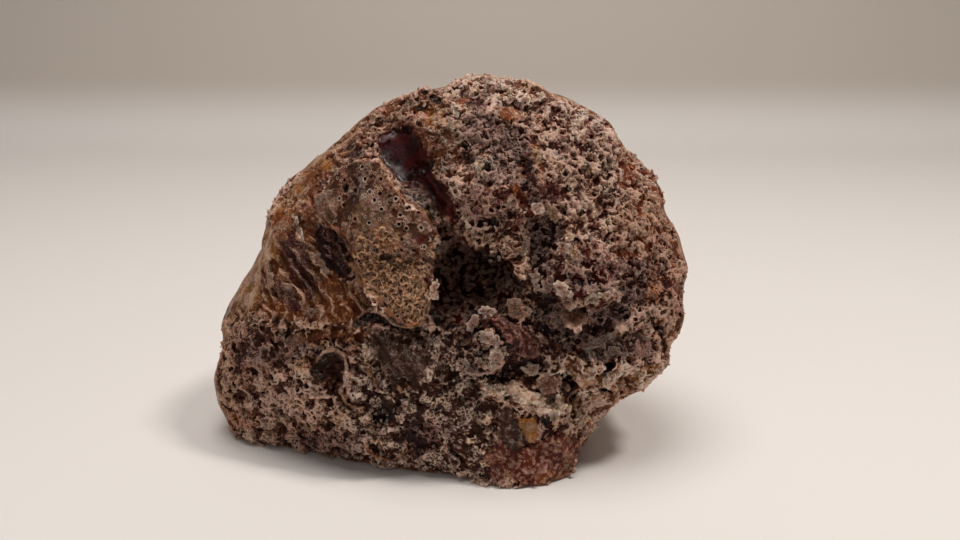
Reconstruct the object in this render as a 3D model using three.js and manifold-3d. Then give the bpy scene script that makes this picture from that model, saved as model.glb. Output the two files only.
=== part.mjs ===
// A lump of chalcedony broken from a geode, resting on a flat break.
// Lengths are millimetres. The broken front faces -Y, +X is to its right, +Z is up.
import * as THREE from "three";
import { ImprovedNoise } from "three/addons/math/ImprovedNoise.js";
import { mergeVertices } from "three/addons/utils/BufferGeometryUtils.js";
import Module from "manifold-3d";

const wasm = await Module();
wasm.setup();
const noise = new ImprovedNoise();

// Overall form: a domed body whose radii are measured from its heart
const HEART = new THREE.Vector3(0, 4, 33);
const FRONT_DEPTH = 22;
const BACK_DEPTH = 30;
const FULLNESS = 2.3; // 2 makes an ellipsoid, a higher number a boxier body
const LEAN_BACK = 0.19; // how far the body moves back for each millimetre of height
const TURN = -0.07; // how far it moves back for each millimetre to the right
const SKIN_DIVISIONS = 16;
const FRONT_CROWDING = 0.22; // draws the facets of the skin towards the front

// The rim of the body seen from the front, [x, z], from the left foot up and over the dome
const RIM = [
  [-43.5, -3], [-46.6, 10], [-44.8, 19], [-37, 35], [-33, 43.5], [-26, 52], [-11, 63], [1, 66.6],
  [7.5, 67.2], [14, 66.4], [28, 59.8], [34, 53.6], [39.5, 45.4], [43, 35], [43.6, 28], [42.6, 21.5],
  [37.6, 15], [31, 10], [24, 1], [12, -9], [-15, -11], [-36, -9],
];
const RIM_STEPS = 720;

// Flat breaks that trim the body: outward normal and a place that the break passes through
const BREAKS = [
  { normal: [-0.4, -0.89, -0.22], through: [-22, -11.5, 0] },
  { normal: [0.5, -0.3, -0.81], through: [27.5, -12, 0] },
];
const BREAK_ROUNDING = 0.07; // how softly a break runs into the body, as a share of the radius

// Relief of the whole skin
const LUMPS = [
  { size: 19, height: 1.4 },
  { size: 8.5, height: 1 },
  { size: 4.2, height: 0.6 },
];
const FRONT_LUMP_SHARE = 0.7; // the broken front is less swollen than the grown back
const PIT_SPACING = 3.7;
const PIT_DEPTH = 1.5;
const PIT_REACH = 0.62; // share of the spacing at which a pit runs out
const BACK_PIT_SHARE = 0.55;
const PITS_GROW = [-0.3, 0.2]; // how far a place faces the front as its pits grow to full depth
const FRONT_BEGINS = [0.08, 0.42]; // how far it faces the front as the broken relief grows

// Swellings and dents of the broken front: place, half sizes, turn in degrees, height
const SWELLING_FLATNESS = 2.6; // 2 makes a bell, a higher number a flatter top
const SWELLINGS = {
  crustLumpOverHollow: { x: 8, z: 49.5, wide: 8, tall: 6.5, turn: 0, height: 3 },
  frothOverLump: { x: 6, z: 58, wide: 7, tall: 4, turn: 0, height: 1.2 },
  lowerLip: { x: 7, z: 30, wide: 4.5, tall: 1.8, turn: -20, height: 1.6 },
  glossyBody: { x: 12, z: 27, wide: 4.5, tall: 2.8, turn: -40, height: 2.2 },
  paleLump: { x: 5, z: 24, wide: 4.5, tall: 4, turn: 0, height: 1.8 },
  foot: { x: 14.5, z: 2, wide: 8.5, tall: 8, turn: 0, height: 7 },
  lowerLeftBulge: { x: -22, z: 12, wide: 15, tall: 8, turn: 0, height: 1.8 },
  ribbedSlab: { x: 27.5, z: 22.3, wide: 6, tall: 2.4, turn: 8, height: 1.4 },
  darkValley: { x: 18.5, z: 28.5, wide: 6.5, tall: 4.5, turn: -15, height: -4 },
  leftRecess: { x: -20, z: 38.5, wide: 3.6, tall: 6.5, turn: 18, height: -2.8 },
  recessInRing: { x: -20, z: 19.5, wide: 3, tall: 3.2, turn: 0, height: -1.8 },
  shoulderDip: { x: -14, z: 60, wide: 6, tall: 3, turn: 35, height: -1.2 },
};

// Valleys and cracks of the front: [x, z] along the floor, half width, depth
const VALLEYS = [
  { path: [[-8.5, 57], [-4, 51], [-0.5, 45]], width: 2.6, depth: 3.4 },
  { path: [[12, 62], [12.6, 50], [16.5, 41], [15.5, 33]], width: 2.2, depth: 2.2 },
  { path: [[-15, 30.5], [-9, 27.4], [-1.5, 27.2]], width: 1.7, depth: 2.2 },
  { path: [[35.6, 27.5], [39.6, 20]], width: 1.2, depth: 1.6 },
  { path: [[24, 13], [27, 6], [25, 0]], width: 2.4, depth: 2.4 },
];

// Layers that end in ledges, on the slope left of the plate
const RIB_SPACING = 4.6;
const RIB_HEIGHT = 1.1;
const RIB_TURN = -52; // degrees, downwards to the right
const RIB_WANDER = { size: 9, width: 1.4 };
const RIB_AREA = { x: -31, z: 36, wide: 12, tall: 17, turn: -35 };
const RIB_AREA_EDGE = [0.75, 1.1]; // shares of the area's radius between which the ribs run out

// The shelf across the lower front: its edge steps back and fades upwards into the front
const SHELF = { left: -17, right: 25, ends: 6, height: 17.4, step: 2.4, riser: 1.6, fade: 6, waviness: 7 };

// Thick layers lying on the front, seen from the front as [x, z]
const LAYER_SWELLING_SHARE = 0.6;
const PLATE = {
  thickness: 1.9,
  outline: [
    [-15.7, 54.6], [-12, 55.3], [-9.4, 52.6], [-7.4, 49.6], [-4.4, 47.8], [-2.4, 44.6], [0.9, 42.6],
    [0.4, 39.9], [-2.2, 37.9], [-1.4, 35.8], [-2.7, 31.4], [-5, 28.5], [-8.8, 28.9], [-12.2, 31.3],
    [-13.7, 34.9], [-14.6, 37.8], [-16.2, 39.9], [-18.7, 42.4], [-21.5, 44.4], [-22.9, 46.6],
    [-22.3, 49.2], [-20.3, 50.4], [-19.2, 53],
  ],
};
const FLAKE_BED = {
  thickness: 2.3,
  outline: [
    [16.6, 39], [19, 42.6], [21, 41.8], [24.5, 42.9], [27, 40.6], [29.4, 38], [28.4, 35.4], [29.2, 32.8],
    [26.7, 32.4], [25, 30.6], [23, 32.6], [19.6, 31.9], [19.9, 34.2], [17.4, 35.6],
  ],
};
const TALON_FLAKE = {
  thickness: 2.6,
  outline: [[19.5, 30.3], [21.5, 29.6], [24, 29.6], [23, 27.7], [22, 26.3], [20.6, 28]],
};

// The hollow: a ragged mouth in front of a lumpy chamber, sized from the mouth's width
const MOUTH = [
  [-1.2, 45.4], [0.8, 44.4], [2, 41.6], [5.6, 39.2], [8, 39.2], [11.2, 37.2], [11.4, 34.6], [10.2, 32.6],
  [10, 30.4], [8.2, 31.6], [5.6, 31.8], [4, 29], [1.8, 28], [-0.6, 29.6], [-2.4, 33], [-1.5, 36],
  [-2.4, 38], [-0.3, 40.4], [-1, 43],
];
const MOUTH_FLOOR = -9;
const CHAMBER_ROUGHNESS = 0.45;
const CHAMBER_DIVISIONS = 4;
const CHAMBERS = [
  { x: 5.4, y: -8, z: 35, wide: 8.4, deep: 12, tall: 7 },
  { x: 0.5, y: -11, z: 32.8, wide: 4.6, deep: 9, tall: 5.6 },
  { x: 0.3, y: -11, z: 39.6, wide: 3.4, deep: 7, tall: 5.4 },
];

// Smooth bowl of dark red chalcedony and the small pit in its upper wall
const RED_BOWL = { x: -7.6, y: -14.6, z: 55.6, wide: 3.9, deep: 7.2, tall: 5.4 };
const BOWL_ROUGHNESS = 0.12;
const BOWL_DIVISIONS = 5;
const BOWL_PIT = { x: -5.2, y: -9, z: 60.4, wide: 1.3, deep: 3.6, tall: 1.5 };

// Round holes in the front: place, radius across, depth below the skin
const HOLE_ROUGHNESS = 0.5;
const HOLE_DIVISIONS = 1;
const HOLE_HEIGHT_SHARE = 1.1; // height over width
const HOLES = [
  { x: 27.6, z: 19.4, radius: 1.7, depth: 4 },
  { x: 20.6, z: 18.8, radius: 1.6, depth: 3.4 },
  { x: 18.3, z: 15.2, radius: 1.7, depth: 3.4 },
  { x: -3.4, z: 63.4, radius: 1.6, depth: 3.4 },
  { x: -6.6, z: 61.9, radius: 1.1, depth: 2.4 },
  { x: 6.9, z: 54.8, radius: 1.2, depth: 2.4 },
  { x: -8.6, z: 39.4, radius: 1.2, depth: 2.2 },
];

// Loose-edged flakes fused to the froth: place, length, turn in degrees
const FLAKES = [
  { x: 4.6, z: 31, length: 3.1, turn: 20 },
  { x: 8.6, z: 30.4, length: 2.8, turn: -25 },
  { x: 11, z: 31.4, length: 3.2, turn: 60 },
  { x: 3.8, z: 41.4, length: 2.8, turn: -30 },
  { x: 8.4, z: 40.2, length: 3, turn: -5 },
  { x: 12.6, z: 38.2, length: 2.7, turn: -55 },
  { x: 6.2, z: 24.6, length: 3.2, turn: 50 },
  { x: 3, z: 21.6, length: 2.8, turn: -40 },
  { x: 12.6, z: 18.6, length: 3.3, turn: -15 },
  { x: 14.6, z: 46.6, length: 3, turn: 75 },
  { x: 18.2, z: 38.6, length: 3.2, turn: 40 },
  { x: 21.4, z: 40, length: 3.4, turn: -15 },
  { x: 25.4, z: 39.6, length: 3, turn: 25 },
  { x: 27.6, z: 36, length: 3.2, turn: -60 },
  { x: 23.4, z: 36.4, length: 3.4, turn: 5 },
  { x: 20.6, z: 34.6, length: 3, turn: 55 },
  { x: 25.2, z: 33, length: 3.4, turn: -35 },
  { x: 28.6, z: 46.4, length: 3, turn: 30 },
  { x: 16, z: 51.4, length: 2.8, turn: -65 },
];
const FLAKE_CORNERS = 6;
const FLAKE_CORNER_SHIFT = 0.5; // share of the spacing that a corner may move round the flake
const FLAKE_RADIUS = [0.42, 0.62]; // shortest and longest corner, as shares of the length
const FLAKE_HEIGHT_SHARE = 0.8;
const FLAKE_THICKNESS = 1.1;
const FLAKE_TILT = 32; // degrees that a flake's lower edge stands off the front

const BALL_LUMP_SIZE = 4.6; // size of the lumps on the walls of hollows and holes
const OUTSIDE = 100; // a length that reaches past the stone from anywhere inside it

const STONE_COLOUR = 0x6b4c3a;
const STONE_ROUGHNESS = 0.72;

// Number helpers
function smooth(low, high, value) {
  return THREE.MathUtils.smoothstep(value, low, high);
}

function hash(i, j, k, salt) {
  const mixed = Math.sin(i * 127.1 + j * 311.7 + k * 74.7 + salt * 53.3) * 43758.5453;
  return mixed - Math.floor(mixed);
}

// Distance to the nearest of the scattered pit centres, as a share of their spacing
function nearestPit(point, spacing) {
  const cell = point.clone().divideScalar(spacing);
  const base = cell.clone().floor();
  let nearest = Infinity;
  for (let i = -1; i <= 1; i += 1) {
    for (let j = -1; j <= 1; j += 1) {
      for (let k = -1; k <= 1; k += 1) {
        const at = [base.x + i, base.y + j, base.z + k];
        const centre = new THREE.Vector3(
          at[0] + hash(...at, 1),
          at[1] + hash(...at, 2),
          at[2] + hash(...at, 3),
        );
        nearest = Math.min(nearest, centre.distanceTo(cell));
      }
    }
  }
  return nearest;
}

// How far round a turned oval a front place lies: 0 at its middle, 1 at its edge
function ovalDistance(x, z, oval) {
  const turn = THREE.MathUtils.degToRad(oval.turn);
  const dx = x - oval.x;
  const dz = z - oval.z;
  const along = dx * Math.cos(turn) + dz * Math.sin(turn);
  const across = dz * Math.cos(turn) - dx * Math.sin(turn);
  return Math.hypot(along / oval.wide, across / oval.tall);
}

function distanceToPath(x, z, path) {
  const place = new THREE.Vector3(x, z, 0);
  const near = new THREE.Vector3();
  let nearest = Infinity;
  for (let i = 1; i < path.length; i += 1) {
    const start = new THREE.Vector3(...path[i - 1], 0);
    const end = new THREE.Vector3(...path[i], 0);
    new THREE.Line3(start, end).closestPointToPoint(place, true, near);
    nearest = Math.min(nearest, near.distanceTo(place));
  }
  return nearest;
}

// Rim radius for every direction round the heart
function rimTable() {
  const corners = RIM.map(([x, z]) => new THREE.Vector3(x - HEART.x, z - HEART.z, 0));
  const curve = new THREE.CatmullRomCurve3(corners, true, "centripetal");
  const samples = curve.getPoints(RIM_STEPS);
  return samples
    .map((sample) => ({ angle: Math.atan2(sample.y, sample.x), radius: Math.hypot(sample.x, sample.y) }))
    .sort((a, b) => a.angle - b.angle);
}
const rim = rimTable();

function rimRadius(angle) {
  const next = rim.findIndex((entry) => entry.angle >= angle);
  const after = rim[next < 0 ? 0 : next];
  const before = rim[next <= 0 ? rim.length - 1 : next - 1];
  const gap = THREE.MathUtils.euclideanModulo(after.angle - before.angle, 2 * Math.PI);
  const share = gap > 0 ? THREE.MathUtils.euclideanModulo(angle - before.angle, 2 * Math.PI) / gap : 0;
  return THREE.MathUtils.lerp(before.radius, after.radius, share);
}

// Draws a point back towards the heart where it lies outside a break
function trimmed(point) {
  const fromHeart = point.clone().sub(HEART);
  for (const { normal, through } of BREAKS) {
    const outward = new THREE.Vector3(...normal);
    const limit = outward.dot(new THREE.Vector3(...through).sub(HEART));
    const share = limit / Math.max(outward.dot(fromHeart), 1);
    fromHeart.multiplyScalar((1 + share - Math.hypot(1 - share, BREAK_ROUNDING)) / 2);
  }
  return fromHeart.add(HEART);
}

// The smooth body before any relief, raised outwards by some millimetres
function bodyPoint(direction, raised) {
  const across = Math.hypot(direction.x, direction.z) / rimRadius(Math.atan2(direction.z, direction.x));
  const depth = direction.y < 0 ? FRONT_DEPTH : BACK_DEPTH;
  const through = Math.abs(direction.y) / depth;
  const reach = (across ** FULLNESS + through ** FULLNESS) ** (-1 / FULLNESS);
  const body = direction.clone().multiplyScalar(reach);
  body.y += LEAN_BACK * body.z + TURN * body.x;
  return trimmed(body.add(HEART)).addScaledVector(direction, raised);
}

// Relief of the skin
function lumpRelief(point) {
  return LUMPS.reduce((total, lump) => {
    const at = point.clone().divideScalar(lump.size);
    return total + lump.height * noise.noise(at.x, at.y, at.z) * 2;
  }, 0);
}

function pitRelief(point) {
  return -PIT_DEPTH * (1 - smooth(0, PIT_REACH, nearestPit(point, PIT_SPACING)));
}

function swellingRelief(x, z) {
  return Object.values(SWELLINGS).reduce((total, swelling) => {
    return total + swelling.height * Math.exp(-(ovalDistance(x, z, swelling) ** SWELLING_FLATNESS));
  }, 0);
}

function valleyRelief(x, z) {
  return VALLEYS.reduce((total, valley) => {
    const away = distanceToPath(x, z, valley.path) / valley.width;
    return total - valley.depth * Math.exp(-(away ** 2));
  }, 0);
}

function ribRelief(x, z) {
  const turn = THREE.MathUtils.degToRad(RIB_TURN);
  const across = z * Math.cos(turn) - x * Math.sin(turn);
  const wander = RIB_WANDER.width * noise.noise(x / RIB_WANDER.size, z / RIB_WANDER.size, 0);
  const layer = THREE.MathUtils.euclideanModulo((across + wander) / RIB_SPACING, 1);
  const inside = 1 - smooth(...RIB_AREA_EDGE, ovalDistance(x, z, RIB_AREA));
  return inside * RIB_HEIGHT * (layer - 0.5);
}

function shelfRelief(x, z) {
  const above = z - SHELF.height - noise.noise(x / SHELF.waviness, 0, 0);
  const fromLeft = smooth(SHELF.left, SHELF.left + SHELF.ends, x);
  const fromRight = 1 - smooth(SHELF.right - SHELF.ends, SHELF.right, x);
  const stepBack = smooth(0, SHELF.riser, above) * Math.exp(-Math.max(above, 0) / SHELF.fade);
  return -SHELF.step * fromLeft * fromRight * stepBack;
}

function stonePoint(direction) {
  const smoothPoint = bodyPoint(direction, 0);
  const { x, z } = smoothPoint;
  const front = smooth(...FRONT_BEGINS, -direction.y);
  const pitShare = THREE.MathUtils.lerp(BACK_PIT_SHARE, 1, smooth(...PITS_GROW, -direction.y));
  const lumps = lumpRelief(smoothPoint) * THREE.MathUtils.lerp(1, FRONT_LUMP_SHARE, front);
  const pits = pitRelief(smoothPoint) * pitShare;
  const broken = swellingRelief(x, z) + valleyRelief(x, z) + ribRelief(x, z) + shelfRelief(x, z);
  return bodyPoint(direction, lumps + pits + broken * front);
}

// A layer's skin keeps the larger lumps of the stone but is smoother than the froth
function layerPoint(direction, thickness) {
  const smoothPoint = bodyPoint(direction, 0);
  const { x, z } = smoothPoint;
  const lumps = lumpRelief(smoothPoint) * FRONT_LUMP_SHARE;
  return bodyPoint(direction, lumps + LAYER_SWELLING_SHARE * swellingRelief(x, z) + thickness);
}

// Solids
function closedManifold(geometry) {
  const bare = geometry.clone();
  bare.deleteAttribute("normal");
  bare.deleteAttribute("uv");
  const merged = mergeVertices(bare);
  const mesh = new wasm.Mesh({
    numProp: 3,
    vertProperties: new Float32Array(merged.attributes.position.array),
    triVerts: new Uint32Array(merged.index.array),
  });
  mesh.merge();
  return new wasm.Manifold(mesh);
}

function geometryOf(manifold) {
  const mesh = manifold.getMesh();
  const geometry = new THREE.BufferGeometry();
  geometry.setAttribute("position", new THREE.BufferAttribute(new Float32Array(mesh.vertProperties), 3));
  geometry.setIndex(new THREE.BufferAttribute(new Uint32Array(mesh.triVerts), 1));
  return geometry;
}

// A ball whose every point is moved by the given rule
function shapedBall(divisions, pointFor) {
  const ball = new THREE.IcosahedronGeometry(1, divisions);
  const positions = ball.attributes.position;
  const direction = new THREE.Vector3();
  for (let i = 0; i < positions.count; i += 1) {
    direction.fromBufferAttribute(positions, i).normalize();
    const point = pointFor(direction);
    positions.setXYZ(i, point.x, point.y, point.z);
  }
  return ball;
}

function crowdedDirection(direction) {
  return direction.clone().add(new THREE.Vector3(0, -FRONT_CROWDING, 0)).normalize();
}

function lumpyBall({ x, y, z, wide, deep, tall }, divisions, roughness) {
  return closedManifold(shapedBall(divisions, (direction) => {
    const place = new THREE.Vector3(direction.x * wide, direction.y * deep, direction.z * tall);
    const at = place.clone().divideScalar(BALL_LUMP_SIZE).add(new THREE.Vector3(x, y, z));
    const swell = 1 + roughness * noise.noise(at.x, at.y, at.z);
    return place.multiplyScalar(swell).add(new THREE.Vector3(x, y, z));
  }));
}

// A prism with the given front outline, from one depth to another
function prism(outline, frontY, backY) {
  const shape = new THREE.Shape(outline.map(([x, z]) => new THREE.Vector2(x, z)));
  const body = new THREE.ExtrudeGeometry(shape, { depth: backY - frontY, bevelEnabled: false });
  body.rotateX(Math.PI / 2);
  body.translate(0, backY, 0);
  return closedManifold(body);
}

function makeSkin() {
  return closedManifold(shapedBall(SKIN_DIVISIONS, (direction) => stonePoint(crowdedDirection(direction))));
}

function makeLayer({ outline, thickness }) {
  const raised = closedManifold(
    shapedBall(SKIN_DIVISIONS, (direction) => layerPoint(crowdedDirection(direction), thickness)),
  );
  return raised.intersect(prism(outline, HEART.y - 2 * FRONT_DEPTH, HEART.y));
}

// Where the front is met at a place seen from the front
function frontMeeting(mesh, x, z) {
  const looking = new THREE.Raycaster(new THREE.Vector3(x, -OUTSIDE, z), new THREE.Vector3(0, 1, 0));
  const [first] = looking.intersectObject(mesh);
  return { point: first.point, normal: first.face.normal };
}

function makeHole(mesh, { x, z, radius, depth }) {
  const { point } = frontMeeting(mesh, x, z);
  const ball = { x, y: point.y, z, wide: radius, deep: depth, tall: radius * HOLE_HEIGHT_SHARE };
  return lumpyBall(ball, HOLE_DIVISIONS, HOLE_ROUGHNESS);
}

// A thin chip whose upper edge is buried and whose lower edge stands off the front
function makeFlake(mesh, { x, z, length, turn }) {
  const { point } = frontMeeting(mesh, x, z);
  const corners = [];
  for (let corner = 0; corner < FLAKE_CORNERS; corner += 1) {
    const step = corner + FLAKE_CORNER_SHIFT * hash(x, z, corner, 4);
    const angle = (2 * Math.PI * step) / FLAKE_CORNERS;
    const radius = length * THREE.MathUtils.lerp(...FLAKE_RADIUS, hash(x, z, corner, 5));
    corners.push(new THREE.Vector2(radius * Math.cos(angle), FLAKE_HEIGHT_SHARE * radius * Math.sin(angle)));
  }
  const outline = new THREE.Shape(corners);
  const flake = new THREE.ExtrudeGeometry(outline, { depth: FLAKE_THICKNESS, bevelEnabled: false });
  flake.translate(0, 0, -FLAKE_THICKNESS / 2);
  flake.rotateX(THREE.MathUtils.degToRad(90 - FLAKE_TILT));
  flake.rotateY(-THREE.MathUtils.degToRad(turn));
  flake.translate(point.x, point.y, point.z);
  return closedManifold(flake);
}

function makeHollow() {
  const chambers = CHAMBERS.map((chamber) => lumpyBall(chamber, CHAMBER_DIVISIONS, CHAMBER_ROUGHNESS));
  const mouth = prism(MOUTH, HEART.y - 2 * FRONT_DEPTH, MOUTH_FLOOR);
  return chambers.reduce((whole, chamber) => whole.add(chamber), mouth);
}

// Everything below the flat break that the stone rests on
function makeTable() {
  const block = new THREE.BoxGeometry(2 * OUTSIDE, 2 * OUTSIDE, OUTSIDE);
  block.translate(0, 0, -OUTSIDE / 2);
  return closedManifold(block);
}

function makeStone() {
  let stone = makeSkin();
  for (const layer of [PLATE, FLAKE_BED, TALON_FLAKE]) {
    stone = stone.add(makeLayer(layer));
  }
  const layered = new THREE.Mesh(geometryOf(stone), new THREE.MeshStandardMaterial());
  const holes = HOLES.map((hole) => makeHole(layered, hole));
  const flakes = FLAKES.map((flake) => makeFlake(layered, flake));
  const bowl = lumpyBall(RED_BOWL, BOWL_DIVISIONS, BOWL_ROUGHNESS);
  const bowlPit = lumpyBall(BOWL_PIT, HOLE_DIVISIONS, HOLE_ROUGHNESS);
  const cuts = [makeHollow(), bowl, bowlPit, ...holes];
  for (const cut of cuts) {
    stone = stone.subtract(cut);
  }
  for (const flake of flakes) {
    stone = stone.add(flake);
  }
  stone = stone.subtract(makeTable());
  const [whole] = stone.decompose().sort((a, b) => b.volume() - a.volume());
  return whole;
}

function makeStoneMaterial() {
  return new THREE.MeshStandardMaterial({ color: STONE_COLOUR, roughness: STONE_ROUGHNESS, metalness: 0 });
}

// The origin is under the middle of the stone, on the table
function centred(geometry) {
  geometry.computeBoundingBox();
  const middle = geometry.boundingBox.getCenter(new THREE.Vector3());
  geometry.translate(-middle.x, -middle.y, 0);
  return geometry;
}

const geode = new THREE.Mesh(centred(geometryOf(makeStone())), makeStoneMaterial());
geode.name = "geode";

const model = new THREE.Group();
model.add(geode);

export default model;
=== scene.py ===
# %% [markdown]
# A lump of chalcedony broken out of a geode
#
# The real thing is one stone: a domed lump of reddish brown chalcedony. Its broken front shows froth like
# stiff foam, a raised plate with pinholes, layered ribs, pale flakes and a dark ragged hollow. Nothing on
# it is made, so nothing here is drawn as clean parts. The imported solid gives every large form, and this
# lesson carves the fine relief into it as a sculptor would: soften the solid, then cut pits and raise
# crests. It could be done with displacement on a subdivided mesh, but froth has undercuts and thin walls,
# so the work is done in a volume of distances, from which a clean closed mesh can be taken at any fineness.

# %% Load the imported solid
import math

import bpy
import numpy as np
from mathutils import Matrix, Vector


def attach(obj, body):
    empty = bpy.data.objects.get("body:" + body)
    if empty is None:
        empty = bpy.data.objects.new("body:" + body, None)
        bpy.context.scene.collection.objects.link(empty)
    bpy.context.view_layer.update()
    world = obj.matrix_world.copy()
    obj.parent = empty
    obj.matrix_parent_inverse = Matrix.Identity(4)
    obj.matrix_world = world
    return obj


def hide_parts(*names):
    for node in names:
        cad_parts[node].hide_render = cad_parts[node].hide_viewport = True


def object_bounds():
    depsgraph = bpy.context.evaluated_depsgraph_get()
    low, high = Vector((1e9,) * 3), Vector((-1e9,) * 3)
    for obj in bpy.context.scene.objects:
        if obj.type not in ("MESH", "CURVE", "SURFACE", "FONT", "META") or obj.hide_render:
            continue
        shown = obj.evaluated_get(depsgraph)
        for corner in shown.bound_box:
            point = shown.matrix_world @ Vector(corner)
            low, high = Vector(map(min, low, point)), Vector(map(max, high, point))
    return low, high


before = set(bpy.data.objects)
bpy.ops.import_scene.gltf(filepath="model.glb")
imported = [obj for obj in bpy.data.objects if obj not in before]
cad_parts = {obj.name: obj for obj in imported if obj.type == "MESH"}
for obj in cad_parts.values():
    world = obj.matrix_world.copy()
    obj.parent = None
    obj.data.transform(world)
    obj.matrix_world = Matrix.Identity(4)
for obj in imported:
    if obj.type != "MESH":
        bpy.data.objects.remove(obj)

import openvdb

MM = 0.001
VOXEL = 0.2  # mm, the finest shape that the volume can hold
cad_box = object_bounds()
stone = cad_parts["geode"]
print("solid's box in mm:", [[round(value / MM, 2) for value in corner] for corner in cad_box])


def in_scene(name, data):
    """A new object that holds the data, linked into the scene."""
    made = bpy.data.objects.new(name, data)
    bpy.context.scene.collection.objects.link(made)
    return made


# %% [markdown]
# The camera
#
# The photograph looks a little down on the stone from close by. The camera comes first, because the places of
# the small features are read from the photograph in its pixels, and the same numbers turn a pixel into a
# place on the stone. A camera could be moved by eye until it looks right. Here its distance, height and tilt
# were solved once from the stone's outline and its flat base, so pixels can be trusted.

# %% Camera
PHOTO_WIDTH = 960
PHOTO_HEIGHT = 540
FOCAL_PX = 960
SENSOR_MM = 36
CAMERA_TILT = math.radians(15.9)
CAMERA_MM = np.array([6.961, -178.852, 82.3])


def place_camera():
    lens = bpy.data.cameras.new("photo_view")
    lens.sensor_width = SENSOR_MM
    lens.lens = SENSOR_MM * FOCAL_PX / PHOTO_WIDTH
    camera = in_scene("photo_view", lens)
    camera.location = CAMERA_MM * MM
    camera.rotation_euler = (math.pi / 2 - CAMERA_TILT, 0, 0)
    bpy.context.scene.camera = camera
    return camera


camera = place_camera()
print("camera in mm:", CAMERA_MM, "tilt in degrees:", round(math.degrees(CAMERA_TILT), 1))


# %% From a place on the stone to a pixel of the photograph
def photo_place(places):
    """Pixels across and down at which places in mm are seen."""
    away = places - CAMERA_MM.astype(np.float32)
    ahead = away[:, 1] * math.cos(CAMERA_TILT) - away[:, 2] * math.sin(CAMERA_TILT)
    above = away[:, 1] * math.sin(CAMERA_TILT) + away[:, 2] * math.cos(CAMERA_TILT)
    across = PHOTO_WIDTH / 2 + FOCAL_PX * away[:, 0] / ahead
    down = PHOTO_HEIGHT / 2 - FOCAL_PX * above / ahead
    return across, down


# %% [markdown]
# The solid as a volume of distances
#
# Every voxel near the skin gets its distance to the solid's surface, less than zero inside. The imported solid
# is faceted, and real chalcedony has no flat facets of that size, so the distances are blurred by a little
# over half a millimetre. That keeps each ledge and hollow and loses the facets. A subdivision surface would
# round them too, but it would pull thin ledges in and can't add undercuts later.

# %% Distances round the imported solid
SHELL = 3.4  # mm of distance kept on each side of the skin
SOFTENING = 0.6  # mm


def vertex_rows(mesh, what):
    """Three numbers for each vertex of a mesh: its place (co) or its normal."""
    values = np.empty(len(mesh.vertices) * 3, np.float32)
    mesh.vertices.foreach_get(what, values)
    return values.reshape(-1, 3)


def mesh_arrays(mesh):
    """The places of a mesh's vertices, and three corners for each triangle."""
    mesh.calc_loop_triangles()
    corners = np.empty(len(mesh.loop_triangles) * 3, np.int32)
    mesh.loop_triangles.foreach_get("vertices", corners)
    return vertex_rows(mesh, "co"), corners.reshape(-1, 3)


def distance_volume(mesh, voxel):
    """Distances in mm on a grid of voxels, and the grid's lowest corner in voxels."""
    places, corners = mesh_arrays(mesh)
    grid = openvdb.FloatGrid.createLevelSetFromPolygons(
        places / MM,
        triangles=corners.astype(np.uint32),
        transform=openvdb.createLinearTransform(voxel),
        halfWidth=math.ceil(SHELL / voxel),
    )
    low, high = grid.evalActiveVoxelBoundingBox()
    values = np.zeros(np.array(high) - np.array(low) + 1, np.float32)
    grid.copyToArray(values, ijk=low)
    return values, np.array(low)


def softened(values, spread):
    """The volume blurred along each axis by a bell curve, spread in voxels."""
    reach = math.ceil(2.5 * spread)
    steps = np.arange(-reach, reach + 1)
    weights = np.exp(-0.5 * (steps / spread) ** 2)
    weights = (weights / weights.sum()).astype(np.float32)
    for axis in range(3):
        blurred = np.zeros_like(values)
        for step, weight in zip(steps, weights):
            blurred += weight * np.roll(values, step, axis)
        values = blurred
    return values


sharp_distance, grid_low = distance_volume(stone.data, VOXEL)
distance = softened(sharp_distance, SOFTENING / VOXEL)
print("volume:", distance.shape, "voxels of", VOXEL, "mm")


# %% Reading the volume at any place
def voxel_index(places):
    index = np.rint(places / VOXEL).astype(np.int64) - grid_low
    index = np.clip(index, 1, np.array(distance.shape) - 2)
    return index[:, 0] * distance.shape[1] * distance.shape[2] + index[:, 1] * distance.shape[2] + index[:, 2]


def outward(places):
    """Unit normals of the softened solid."""
    flat = distance.ravel()
    here = voxel_index(places)
    strides = (distance.shape[1] * distance.shape[2], distance.shape[2], 1)
    slope = np.stack([flat[here + stride] - flat[here - stride] for stride in strides], 1)
    return slope / np.maximum(np.linalg.norm(slope, axis=1), 1e-6)[:, None]


def facing_camera(places):
    """1 where the skin is turned to the camera, 0 where it is turned away."""
    sight = places - CAMERA_MM.astype(np.float32)
    sight /= np.linalg.norm(sight, axis=1)[:, None]
    return -(outward(places) * sight).sum(1)


# %% [markdown]
# Blender's own textures as carving tools
#
# Froth, lace and grain are cell and cloud patterns, which Blender already has as texture nodes. A Geometry
# Nodes tree can work such a texture out at any point and store it, and it is fast and always gives the same
# numbers. So the places near the skin are loaded as loose points, one tree stores the patterns on them, and
# the numbers are read back. Writing the noise again in Python would be slow, and a displace modifier could
# only push the skin along its normal.

# %% A node helper that serves geometry and material trees
def add_node(tree, kind, inputs=None, **settings):
    """A new node with its settings; each input gets a value, or a link where a socket is given."""
    node = tree.nodes.new(kind)
    for name, value in settings.items():
        setattr(node, name, value)
    for name, value in (inputs or {}).items():
        if isinstance(value, bpy.types.NodeSocket):
            tree.links.new(value, node.inputs[name])
        else:
            node.inputs[name].default_value = value
    return node


def vector_node(tree, operation, *vectors, **named):
    inputs = {**dict(enumerate(vectors)), **named}
    return add_node(tree, "ShaderNodeVectorMath", inputs, operation=operation).outputs[0]


def cloud_node(tree, place, scale, detail, roughness=0.5):
    inputs = {"Vector": place, "Scale": scale, "Detail": detail, "Roughness": roughness}
    return add_node(tree, "ShaderNodeTexNoise", inputs)


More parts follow.
